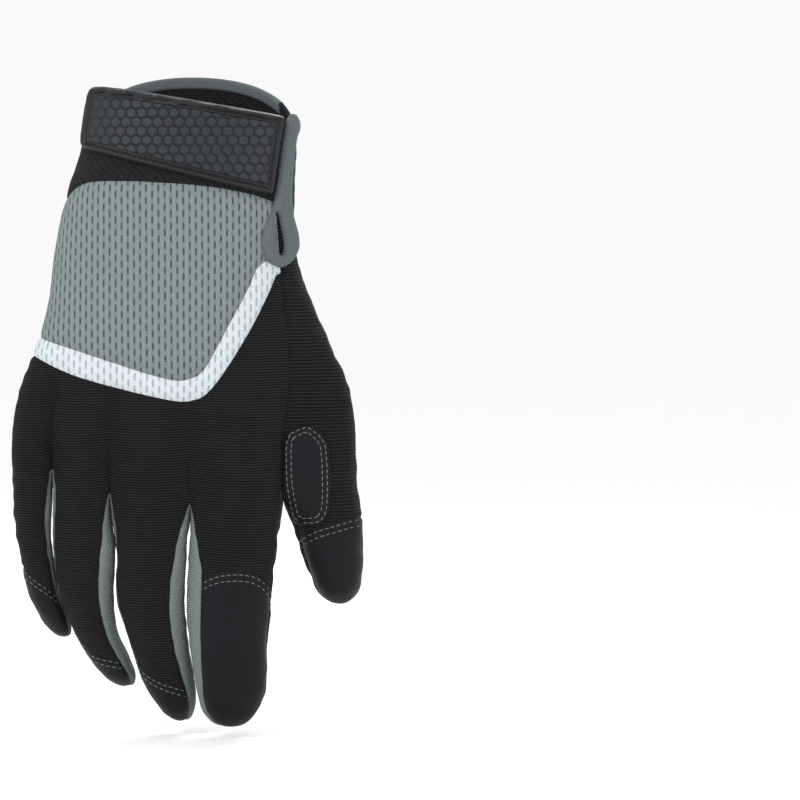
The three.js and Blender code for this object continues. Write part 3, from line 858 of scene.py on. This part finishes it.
def slit_mesh(name, dark, base, light):
    """Fine level ribs with staggered upright slits. The slits are painted dark as shade in the openings, and
    the furrows between ribs and cords are painted shade with painted light on their tops.
    """
    material, tree, shader = new_material(name, 0.75, 0.05)
    across, along = cloth_place(tree)
    column = maths(tree, "DIVIDE", across, 2.3)
    number = maths(tree, "FLOOR", column)
    stagger = maths(tree, "MULTIPLY", maths(tree, "FLOORED_MODULO", number, 2.0), 0.5)
    down = maths(tree, "FRACT", maths(tree, "ADD", maths(tree, "DIVIDE", along, 4.7), stagger))
    from_side = maths(tree, "ABSOLUTE", maths(tree, "SUBTRACT", maths(tree, "FRACT", column), 0.5))
    from_end = maths(tree, "ABSOLUTE", maths(tree, "SUBTRACT", down, 0.5))
    wide = maths(tree, "DIVIDE", from_side, 0.12)
    long = maths(tree, "DIVIDE", from_end, 0.29)
    reach = maths(tree, "ADD", maths(tree, "POWER", wide, 2.0), maths(tree, "POWER", long, 4.0))
    edges = {"Value": reach, "From Min": 0.5, "From Max": 1.6}
    solid = add_node(tree, "ShaderNodeMapRange", edges).outputs[0]
    rib = maths(tree, "MULTIPLY_ADD", wave(tree, along, 0.62), 0.16, 0.0)
    cord = maths(tree, "MULTIPLY_ADD", wave(tree, across, 2.3, math.pi / 2), 0.14, 0.6)
    height = maths(tree, "MULTIPLY", solid, maths(tree, "ADD", rib, cord))
    # The ramp paints shade into the slits and furrows and light onto the tops of the ribs and cords
    ramp = add_node(tree, "ShaderNodeValToRGB", {0: height})
    ramp.color_ramp.elements[0].color = colour(dark)
    ramp.color_ramp.elements[0].position = 0.1
    ramp.color_ramp.elements[1].color = colour(light)
    ramp.color_ramp.elements[1].position = 0.95
    middle = ramp.color_ramp.elements.new(0.6)
    middle.color = colour(base)
    tree.links.new(ramp.outputs[0], shader.inputs["Base Color"])
    add_bump(tree, shader, height, 0.8, 0.8)
    return material


def leather(name, dark, light, grain_size, depth, roughness, sheen=0.2):
    material, tree, shader = new_material(name, roughness, sheen)
    place = add_node(tree, "ShaderNodeTexCoord").outputs["Object"]
    cells = add_node(tree, "ShaderNodeTexVoronoi", {"Vector": place, "Scale": 1000 / grain_size})
    height = maths(tree, "ADD", maths(tree, "MULTIPLY", cells.outputs[0], 0.5),
                   maths(tree, "MULTIPLY", grain(tree, grain_size * 1.5, 5.0), 0.6))
    finish_material(tree, shader, height, dark, light, depth, 0.5, 14.0)
    return material


def hexagon_rubber(name, dark, light, pitch, depth):
    """Moulded rubber: raised hexagons between narrow grooves, the grooves darkened as painted shade and the
    hexagons' tops lighter as painted light.
    """
    material, tree, shader = new_material(name, 0.5, 0.0, 0.35)
    across, along = cloth_place(tree)
    tall = pitch * math.sqrt(3)

    def from_middle(value, shift, period):
        spot = maths(tree, "FLOORED_MODULO", maths(tree, "ADD", value, shift * period), period)
        return maths(tree, "ABSOLUTE", maths(tree, "SUBTRACT", spot, period / 2))

    def cell(shift):
        x = from_middle(across, shift, pitch)
        y = from_middle(along, shift, tall)
        slanted = maths(tree, "MULTIPLY_ADD", x, 0.5, maths(tree, "MULTIPLY", y, math.sqrt(3) / 2))
        return maths(tree, "MAXIMUM", x, slanted)

    nearest = maths(tree, "MINIMUM", cell(0.0), cell(0.5))
    edges = {"Value": nearest, "From Min": pitch * 0.5, "From Max": pitch * 0.36}
    height = add_node(tree, "ShaderNodeMapRange", edges).outputs[0]
    rough = maths(tree, "MULTIPLY_ADD", grain(tree, 0.5), 0.1, -0.05)
    # Painted shade in the grooves and painted light on the hexagons, with random tone from the fine grain
    finish_material(tree, shader, maths(tree, "ADD", height, rough), dark, light, depth, 0.2)
    return material


def plain_rubber(name, dark, light, roughness=0.5):
    material, tree, shader = new_material(name, roughness, 0.0, 0.3)
    finish_material(tree, shader, grain(tree, 0.6), dark, light, 0.04, 0.3)
    return material


# In each knit, tape, mesh, film and hexagon rubber below, the darkest colour is painted shade in the hollows
# of the relief and the lightest is painted light on its tops; in the leathers, plain rubbers and threads the
# colours are random tone
knit_black = ribbed_knit("ribbed knit, black", "020203", "29292b", 1.0, 0.9, 0.5)
thumb_black = ribbed_knit("ribbed knit, black, wide", "020203", "272729", 1.28, 0.9, 0.55)
knit_grey = ribbed_knit("ribbed knit, grey", "4f5857", "929c9a", 0.9, 0.8, 0.25)
cuff_black = basket_knit("basket knit, black", "060607", "29272b")
mesh_grey = slit_mesh("slit mesh, grey", "3d484b", "64706f", "7d8988")
film_white = slit_mesh("printed film, white", "98a3a8", "b7c1c5", "c6ced1")
suede_black = leather("suede, black", "0f0f10", "262627", 0.5, 0.15, 0.95, 0.06)
leather_black = leather("leather, black", "08090c", "15161a", 0.45, 0.08, 0.55, 0.02)
binding_grey = ribbed_knit("woven tape, grey", "4b5255", "666d70", 0.55, 0.6, 0.06)
strap_rubber = hexagon_rubber("moulded rubber, hexagons", "08090b", "1f2327", 3.9, 0.5)
rim_rubber = plain_rubber("moulded rubber, plain", "0f1113", "191c1f")
hexagon_grey = plain_rubber("moulded rubber, grey", "6a6b6b", "838484", 0.42)
thread_grey = plain_rubber("thread, grey", "4c4d4e", "77797a", 0.7)
thread_dark = plain_rubber("thread, dark grey", "474849", "69696b", 0.7)

# Panels of the skin: sunk a little along their seams and wrinkled as worn cloth
SEAM_SINK = 0.55
SEAM_REACH = 0.9
PUFF_REACH = 3.0
WRINKLE_SIZE = 7.0
PUCKER_RING = 5.0
PUCKER_REACH = 8.0
PUCKER_FOLDS = 6
GAP = 0.06


def puckers(surface, height):
    """Folds that run out from the crotches between the fingers, in mm."""
    points = surface["points"]
    total = np.zeros(len(points))
    for place, valley in enumerate(valleys[:3]):
        across = points[:, 0] - valley["across"] * palmWidth
        above = points[:, 2] + valley_depth(place) * handLength
        turn = np.arctan2(above, across)
        near = np.exp(-((np.hypot(across, above) - PUCKER_RING) / PUCKER_REACH) ** 2)
        total += height * near * np.cos(PUCKER_FOLDS * turn + place)
    return total


def skin_panel(node, surface, wall, material, wrinkle=0.25, puff=0.0, pucker=0.0):
    """A panel for a node: its wall, and in mm the height of its wrinkles, swelling and puckers."""
    distance = edge_distance(surface)
    sink = SEAM_SINK * np.exp(-(distance / SEAM_REACH) ** 2)
    raised = puff * (1 - np.exp(-(distance / PUFF_REACH) ** 2))
    outer = raised - sink + creases(surface, wrinkle, WRINKLE_SIZE) + puckers(surface, pucker)
    return cloth_piece(node, surface, outer, -wall, material, [node])


back = panel(["back"])
back_xz = back["points"][:, [0, 2]]
tall, wide = 40.0, 80.0
inner_line = outline_of([
    [-0.75, 0.48], [-0.53, 0.546], [-0.372, 0.584], [-0.158, 0.639], [-0.019, 0.668],
    [0.053, 0.653], [0.090, 0.622], [0.173, 0.503], [0.241, 0.408], [0.290, 0.315],
])
outer_line = outline_of([
    [-0.75, 0.53], [-0.568, 0.593], [-0.447, 0.642], [-0.259, 0.685], [-0.011, 0.729],
    [0.068, 0.717], [0.124, 0.674], [0.196, 0.593], [0.267, 0.500], [0.327, 0.405], [0.357, 0.344],
])
inner_shape = rounded(inner_line + [(wide, -0.15 * handLength), (wide, tall), (-wide, tall)], 2)
outer_shape = rounded(outer_line + [(wide, -0.30 * handLength), (wide, tall), (-wide, tall)], 2)
inner_field = inside_distance(inner_shape, back_xz)
outer_field = inside_distance(outer_shape, back_xz)
mesh_part = clipped(back, inner_field - GAP)
band_part = clipped(back, np.minimum(outer_field, -inner_field) - GAP)
knit_part = clipped(back, -outer_field - GAP)
skin_panel("mesh_panel", mesh_part, meshWall, mesh_grey, 0.12, 0.5)
skin_panel("white_band", band_part, meshWall, film_white, 0.1, 0.35)
skin_panel("knit_back", knit_part, knitWall, knit_black, 0.6, 0.0, 0.4)
skin_panel("thumb_knit", panel(["thumb_back"]), knitWall, thumb_black, 0.4)
skin_panel("palm_leather", panel(["palm"]), leatherWall, suede_black, 0.7)
cuff_names = ["cuff_back", "rim_back"]
skin_panel("cuff_back", panel(cuff_names), cuffWall, cuff_black, 0.3)
skin_panel("cuff_palm", panel(["cuff_palm"]), cuffWall, cuff_black, 0.3)
for finger in fingers:
    surface = panel(["cap_" + finger["name"]])
    node = "fingertip_cap_" + finger["name"]
    skin_panel(node, surface, leatherWall, leather_black, 0.3, 0.25)
for finger in fingers[2:]:
    surface = panel(["touch_" + finger["name"]])
    node = "touch_tip_" + finger["name"]
    skin_panel(node, surface, leatherWall, leather_black, 0.25, 0.25)
for place, name in enumerate(["little_ring", "ring_middle", "middle_index"]):
    surface = panel([f"fourchette_{place}"])
    skin_panel("fourchette_" + name, surface, fourchetteWall, knit_grey, 0.3)

# The cuff's rim: tape folded over the edge
rim = panel(["rim_palm"])
rim_distance = edge_distance(rim)
RIM_ROUND = 1.3
rim_bulge = np.sqrt(np.clip(1 - (1 - np.clip(rim_distance / RIM_ROUND, 0, 1)) ** 2, 0, 1))
cloth_piece("cuff_binding", rim, 0.9 * rim_bulge - 0.2, -cuffWall - 0.7 * rim_bulge, binding_grey,
            ["cuff_binding"])


def overlay(name, labels_under, outline, profile, material, fine=False):
    """A layer on the skin inside an outline; profile gives its height from the distance to its edge."""
    surface = panel(labels_under)
    field = inside_distance(outline, surface["points"][:, [0, 2]])
    surface = clipped(surface, field)
    if fine:
        surface = refined(surface)
    height = profile(surface["field"], surface)
    return cloth_piece(name, surface, lift + height, lift * 0.5, material, [name])


def bulged(thickness, reach):
    """A rounded edge that reaches its full height at some distance inside."""
    def profile(distance, surface):
        share = np.clip(distance / reach, 0, 1)
        return thickness * np.sqrt(np.clip(1 - (1 - share) ** 2, 0, 1))
    return profile


def step(values, start, end):
    share = np.clip((values - start) / (end - start), 0, 1)
    return share * share * (3 - 2 * share)


# The wrist strap: a raised double rim round a field of hexagons
# Its rims are steps up and down at these distances from its edge
STRAP_RIMS = ((0.8, 0.5, 0.9, 1.7, 2.1), (0.5, 2.5, 2.8, 3.3, 3.6))
STRAP_FIELD = 1.9
FIELD_INSET = 3.7
FIELD_RISE = 0.35
FIELD_SUNK = 0.6


def strap_profile(distance, surface):
    height = bulged(STRAP_FIELD, 0.9)(distance, surface)
    for rise, foot, crest, drop, end in STRAP_RIMS:
        height = height + rise * (step(distance, foot, crest) - step(distance, drop, end))
    return height


back_names = ["above_back", "rim_back", "cuff_back", "back", "thumb_back"]
strap_outline = rounded(outline_of([
    [-0.318, -0.185], [-0.343, -0.165], [-0.372, -0.02], [-0.360, 0.005], [0.300, 0.128], [0.328, 0.133],
    [0.334, 0.100], [0.365, -0.065], [0.370, -0.095], [0.335, -0.100],
]), 2)
overlay("wrist_strap", back_names, strap_outline, strap_profile, rim_rubber, True)

# The hexagon field lies on the strap, inside its inner rim
field_surface = panel(back_names)
field_distance = inside_distance(strap_outline, field_surface["points"][:, [0, 2]])
field_surface = refined(clipped(field_surface, field_distance - FIELD_INSET))
field_height = lift + STRAP_FIELD
cloth_piece("strap_hexagon_field", field_surface, field_height + FIELD_RISE, field_height - FIELD_SUNK,
            strap_rubber, ())

# The keyhole binding: flat tape down the slit and a loop round its end
binding_outline = rounded(outline_of([
    [0.380, -0.090], [0.338, 0.159], [0.300, 0.220], [0.286, 0.270], [0.305, 0.320], [0.361, 0.344],
    [0.405, 0.320], [0.425, 0.270], [0.391, 0.159], [0.410, -0.026], [0.429, -0.075], [0.406, -0.107],
]), 2)
slit_outline = rounded(outline_of([
    [0.335, 0.180], [0.345, 0.290], [0.362, 0.310], [0.375, 0.280], [0.352, 0.180],
]), 2)
tape_surface = panel(back_names)
tape_xz = tape_surface["points"][:, [0, 2]]
tape_field = np.minimum(inside_distance(binding_outline, tape_xz), -inside_distance(slit_outline, tape_xz))
tape_field = np.minimum(tape_field, 1.0 - tape_surface["points"][:, 1])
tape_surface = refined(clipped(tape_surface, tape_field))
tape_height = bulged(bindingWall + 0.5, 2.0)(tape_surface["field"], tape_surface)
cloth_piece("keyhole_binding", tape_surface, lift + tape_height, lift * 0.5, binding_grey,
            ["keyhole_binding"])

# The palm patch: padded between its double stitching
PATCH_ROWS = (1.3, 3.3)
ROW_WIDTH = 0.45
patch_outline = rounded(outline_of([
    [-0.630, 0.920], [-0.585, 0.985], [-0.520, 0.960], [-0.485, 0.930], [-0.450, 0.985], [-0.340, 1.000],
    [-0.282, 0.965], [-0.220, 1.020], [-0.060, 1.025], [0.019, 0.980], [0.080, 1.030], [0.240, 1.030],
    [0.310, 0.964], [0.293, 0.828], [0.129, 0.773], [0.284, 0.714], [0.330, 0.670], [0.329, 0.602],
    [0.225, 0.382], [0.191, 0.305], [-0.039, 0.294], [-0.057, 0.341], [-0.003, 0.678], [-0.169, 0.288],
    [-0.365, 0.268], [-0.516, 0.635], [-0.088, 0.782], [-0.566, 0.758],
]), 2)


def patch_profile(distance, surface):
    edge = bulged(0.9, 0.8)(distance, surface)
    rows = 0.3 * sum(np.exp(-((distance - row) / ROW_WIDTH) ** 2) for row in PATCH_ROWS)
    pad = 1.1 * step(distance, 3.6, 8.0)
    return edge - rows + pad + creases(surface, 0.25, 6.0)


palm_patch = overlay("palm_patch", ["palm"], patch_outline, patch_profile, suede_black)

# The patch in the crotch of the thumb
crotch_outline = rounded(outline_of([
    [0.370, 0.820], [0.462, 0.787], [0.534, 0.836], [0.545, 0.905], [0.545, 1.046], [0.508, 1.088],
    [0.400, 1.088], [0.370, 0.960],
]), 2)
patch_edge = bulged(1.0, 0.8)
overlay("thumb_crotch_patch", ["thumb_back"], crotch_outline, patch_edge, leather_black)

# The round badge: a rim round small hexagons in a honeycomb
badge_centre = (0.049 * palmWidth, 0.177 * cuffHeight)
badge_outline = []
for turn in range(0, 360, 5):
    x = badge_centre[0] + badgeRadius * math.cos(math.radians(turn))
    z = badge_centre[1] + badgeRadius * math.sin(math.radians(turn))
    badge_outline.append((x, z))


def badge_profile(distance, surface):
    return bulged(1.6, 0.7)(distance, surface) + 0.7 * (step(distance, 0.2, 0.6) - step(distance, 1.5, 1.9))


palm_cuff = ["cuff_palm", "rim_palm", "above_palm"]
overlay("round_badge", palm_cuff, badge_outline, badge_profile, rim_rubber, True)


# What lies on the outside is placed by looking along Y onto the finished pieces
LOOK_FROM = 0.2


def outside_tree():
    verts, polys = [], []
    bpy.context.view_layer.update()
    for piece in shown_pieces():
        if piece.type == "MESH" and piece.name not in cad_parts:
            start = len(verts)
            verts += [piece.matrix_world @ vertex.co for vertex in piece.data.vertices]
            polys += [[start + place for place in polygon.vertices] for polygon in piece.data.polygons]
    return BVHTree.FromPolygons(verts, polys)


outside = outside_tree()


def on_surface(x, z, side):
    """The point and normal of the outside at x and z in mm, seen from the back or the palm."""
    way = 1 if side == "back" else -1
    start = Vector((x * METRE, -LOOK_FROM * way, z * METRE))
    place, normal, _, _ = outside.ray_cast(start, Vector((0, way, 0)))
    return place, normal


def hexagon_prisms(name, centres, radius, height, side, material):
    """Small raised hexagons on the surface, joined in one mesh."""
    verts, polys = [], []
    for x, z in centres:
        place, normal = on_surface(x, z, side)
        if place is None:
            continue
        up = (Vector((0, 0, 1)) - normal * normal.z).normalized()
        across = up.cross(normal)
        start = len(verts)
        rings = ((1.0, -0.4), (1.0, height * 0.6), (0.8, height), (0.2, height))
        for reach, lift_by in rings:
            for corner in range(6):
                turn = math.radians(60 * corner + 90)
                spot = across * math.cos(turn) + up * math.sin(turn)
                verts.append(place + spot * reach * radius * METRE + normal * lift_by * METRE)
        for ring in range(3):
            for corner in range(6):
                after = (corner + 1) % 6
                low, high = start + 6 * ring, start + 6 * ring + 6
                polys.append([low + corner, low + after, high + after, high + corner])
        polys.append([start + 18 + corner for corner in range(6)])
        polys.append([start + corner for corner in reversed(range(6))])
    mesh = bpy.data.meshes.new(name)
    mesh.from_pydata(verts, [], polys)
    mesh.materials.append(material)
    piece = linked(name, mesh)
    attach(piece, "root")
    return piece


BADGE_PITCH = 4.3
badge_centres = []
for row in range(-3, 4):
    for column in range(-3, 4):
        x = (column + 0.5 * (row % 2)) * BADGE_PITCH
        z = row * BADGE_PITCH * math.sqrt(3) / 2
        if math.hypot(x, z) < badgeRadius - 3.0:
            badge_centres.append((badge_centre[0] + x, badge_centre[1] + z))
hexagon_prisms("badge_hexagons", badge_centres, 1.75, 0.7, "palm", hexagon_grey)


# Stitches: one short thread instanced along rows of points by Geometry Nodes
def stitch_group():
    group = bpy.data.node_groups.new("stitches", "GeometryNodeTree")
    group.interface.new_socket("Points", in_out="INPUT", socket_type="NodeSocketGeometry")
    length = group.interface.new_socket("Length", in_out="INPUT", socket_type="NodeSocketFloat")
    radius = group.interface.new_socket("Radius", in_out="INPUT", socket_type="NodeSocketFloat")
    thread = group.interface.new_socket("Thread", in_out="INPUT", socket_type="NodeSocketMaterial")
    group.interface.new_socket("Stitches", in_out="OUTPUT", socket_type="NodeSocketGeometry")
    start = group.nodes.new("NodeGroupInput")
    end = group.nodes.new("NodeGroupOutput")
    ball = add_node(group, "GeometryNodeMeshUVSphere", {"Segments": 8, "Rings": 6, "Radius": 1.0})
    thin = add_node(group, "ShaderNodeCombineXYZ", {0: start.outputs["Radius"], 1: start.outputs["Radius"]})
    half = maths(group, "MULTIPLY", start.outputs["Length"], 0.5)
    group.links.new(half, thin.inputs[2])
    shape_inputs = {"Geometry": ball.outputs[0], "Scale": thin.outputs[0]}
    shaped = add_node(group, "GeometryNodeTransform", shape_inputs)
    way = add_node(group, "GeometryNodeInputNamedAttribute", {"Name": "way"}, data_type="FLOAT_VECTOR")
    turned = add_node(group, "FunctionNodeAlignEulerToVector", {"Vector": way.outputs[0]}, axis="Z")
    copies = add_node(group, "GeometryNodeInstanceOnPoints", {
        "Points": start.outputs["Points"], "Instance": shaped.outputs[0], "Rotation": turned.outputs[0],
    })
    real = add_node(group, "GeometryNodeRealizeInstances", {"Geometry": copies.outputs[0]})
    painted = add_node(group, "GeometryNodeSetMaterial", {
        "Geometry": real.outputs[0], "Material": start.outputs["Thread"],
    })
    group.links.new(painted.outputs[0], end.inputs[0])
    return group, length.identifier, radius.identifier, thread.identifier


stitch_nodes, length_input, radius_input, thread_input = stitch_group()
STITCH_STEP = 2.3
STITCH_LENGTH = 1.7
STITCH_RADIUS = 0.19
STITCH_LOOK = 0.6
STITCH_LIFT = 0.06
STITCH_JUMP = 1.5


def stitches(name, rows, side, material, slot):
    """Rows of stitches; each row is a list of points across and up in mm, seen from that side."""
    places_made, ways = [], []
    for row in rows:
        reach = 0.0
        for (ax, az), (bx, bz) in zip(row, row[1:]):
            length = math.hypot(bx - ax, bz - az)
            while reach < length:
                share = reach / length
                x, z = mix(ax, bx, share), mix(az, bz, share)
                place, normal = on_surface(x, z, side)
                ahead = STITCH_LOOK / length
                after, _ = on_surface(x + (bx - ax) * ahead, z + (bz - az) * ahead, side)
                if place and after and (after - place).length < STITCH_JUMP * METRE:
                    places_made.append(place + normal * STITCH_LIFT * METRE)
                    ways.append((after - place).normalized())
                reach += STITCH_STEP
            reach -= length
    mesh = bpy.data.meshes.new(name)
    mesh.from_pydata(places_made, [], [])
    mesh.attributes.new("way", "FLOAT_VECTOR", "POINT").data.foreach_set("vector", np.array(ways).ravel())
    piece = linked(name, mesh)
    modifier = piece.modifiers.new("stitches", "NODES")
    modifier.node_group = stitch_nodes
    modifier[length_input] = STITCH_LENGTH * METRE
    modifier[radius_input] = STITCH_RADIUS * METRE
    modifier[thread_input] = material
    graph = bpy.context.evaluated_depsgraph_get()
    made = bpy.data.meshes.new_from_object(piece.evaluated_get(graph))
    made.name = name
    piece.modifiers.clear()
    piece.data = made
    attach(piece, "root")
    return piece


ROW_NEAREST = 0.9


def inner_rows(outline, distances):
    """Rows at fixed distances inside an outline, left out where another edge is nearer."""
    rows = []
    for distance in distances:
        row = []
        ring = outline + outline[:1]
        for (ax, az), (bx, bz) in zip(ring, ring[1:]):
            length = max(math.hypot(bx - ax, bz - az), 1e-6)
            for share in (0.0, 0.5):
                x = mix(ax, bx, share) + (bz - az) / length * distance
                z = mix(az, bz, share) - (bx - ax) / length * distance
                row.append((x, z))
        signed = inside_distance(outline, np.array(row))
        kept, run = [], []
        for spot, value in zip(row, signed):
            if value > distance * ROW_NEAREST:
                run.append(spot)
            elif run:
                kept.append(run)
                run = []
        if run:
            kept.append(run)
        rows += [run for run in kept if len(run) > 1]
    return rows


def clockwise(outline):
    area = sum(a[0] * b[1] - b[0] * a[1] for a, b in zip(outline, outline[1:] + outline[:1]))
    return outline if area < 0 else outline[::-1]


CROTCH_ROWS = (1.1, 2.9)
KEYHOLE_ROWS = (1.0,)
CAP_ROWS = (1.3, 3.6)
TOUCH_ROWS = (-1.4, 1.4)
FLAP_ROW = 0.72
FLAP_STEPS = 10
CAP_STEPS = 24
outlined = [
    ("palm_patch_stitches", patch_outline, PATCH_ROWS, "palm", thread_dark, "palm_suede"),
    ("crotch_patch_stitches", crotch_outline, CROTCH_ROWS, "back", thread_grey, "smooth_leather"),
    ("keyhole_stitches", binding_outline, KEYHOLE_ROWS, "back", thread_grey, "grey_binding"),
]
for name, outline, distances, side, thread, slot in outlined:
    stitches(name, inner_rows(clockwise(outline), distances), side, thread, slot)
flap_row = []
for number in range(5):
    for k in range(FLAP_STEPS + 1):
        share = 1 - k / FLAP_STEPS
        angle = cuff_angle("palm", strip_angle(number, "palm", share, 0))
        low = mix(cuff_line("rim", angle), cuff_line("binding", angle), FLAP_ROW)
        x, _, z = hand_point(number, "palm", share, low, 0)
        flap_row.append((x, z))
stitches("cuff_binding_stitches", [flap_row], "palm", thread_grey, "grey_binding")


def cap_rows(number, side, distances):
    """Rows across a fingertip, just past the cap's seam."""
    finger = fingers[number]
    middle = finger_section(finger, 0.5)
    rows = []
    for distance in distances:
        row = []
        for k in range(CAP_STEPS + 1):
            share = k / CAP_STEPS
            angle = part_angle(middle, side, share)
            along = row_share(finger, angle, ROWS_FINGER) + distance / finger["length"]
            x, _, z = finger_point(number, side, share, along)
            row.append((x, z))
        rows.append(row)
    return rows


for number, finger in enumerate(fingers):
    rows = cap_rows(number, "back", CAP_ROWS)
    stitches("cap_stitches_" + finger["name"], rows, "back", thread_grey, "smooth_leather")
    if number > 1:
        rows = cap_rows(number, "palm", TOUCH_ROWS)
        stitches("touch_stitches_" + finger["name"], rows, "palm", thread_grey, "touch_leather")

# Floor, world and lights
floor_mesh = bpy.data.meshes.new("floor")
floor_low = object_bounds()[0][2] - 0.004
FLOOR_REACH = 6
floor_corners = [(-1, -1), (1, -1), (1, 1), (-1, 1)]
floor_verts = [(x * FLOOR_REACH, y * FLOOR_REACH, floor_low) for x, y in floor_corners]
floor_mesh.from_pydata(floor_verts, [], [[0, 1, 2, 3]])
floor = linked("floor", floor_mesh)
floor_material, _, floor_shader = new_material("floor, white", 0.6)
floor_shader.inputs["Base Color"].default_value = colour("ffffff")
floor_mesh.materials.append(floor_material)

world = bpy.data.worlds.new("studio")
world.use_nodes = True
world.node_tree.nodes["Background"].inputs[0].default_value = (1, 1, 1, 1)
world.node_tree.nodes["Background"].inputs[1].default_value = 0.95
bpy.context.scene.world = world
bpy.context.scene.view_settings.view_transform = "Standard"


def area_light(name, place, aim, size, watts):
    data = bpy.data.lights.new(name, "AREA")
    data.size = size
    data.energy = watts
    light = linked(name, data)
    light.location = Vector(place)
    light.rotation_euler = (Vector(aim) - light.location).to_track_quat("-Z", "Y").to_euler()


area_light("key", (-0.6, -0.9, 0.7), glove_centre, 0.35, 9)
area_light("fill", (0.9, -0.7, 0.1), glove_centre, 0.7, 2)
area_light("rear", (0.4, 0.9, 0.5), glove_centre, 0.6, 6)
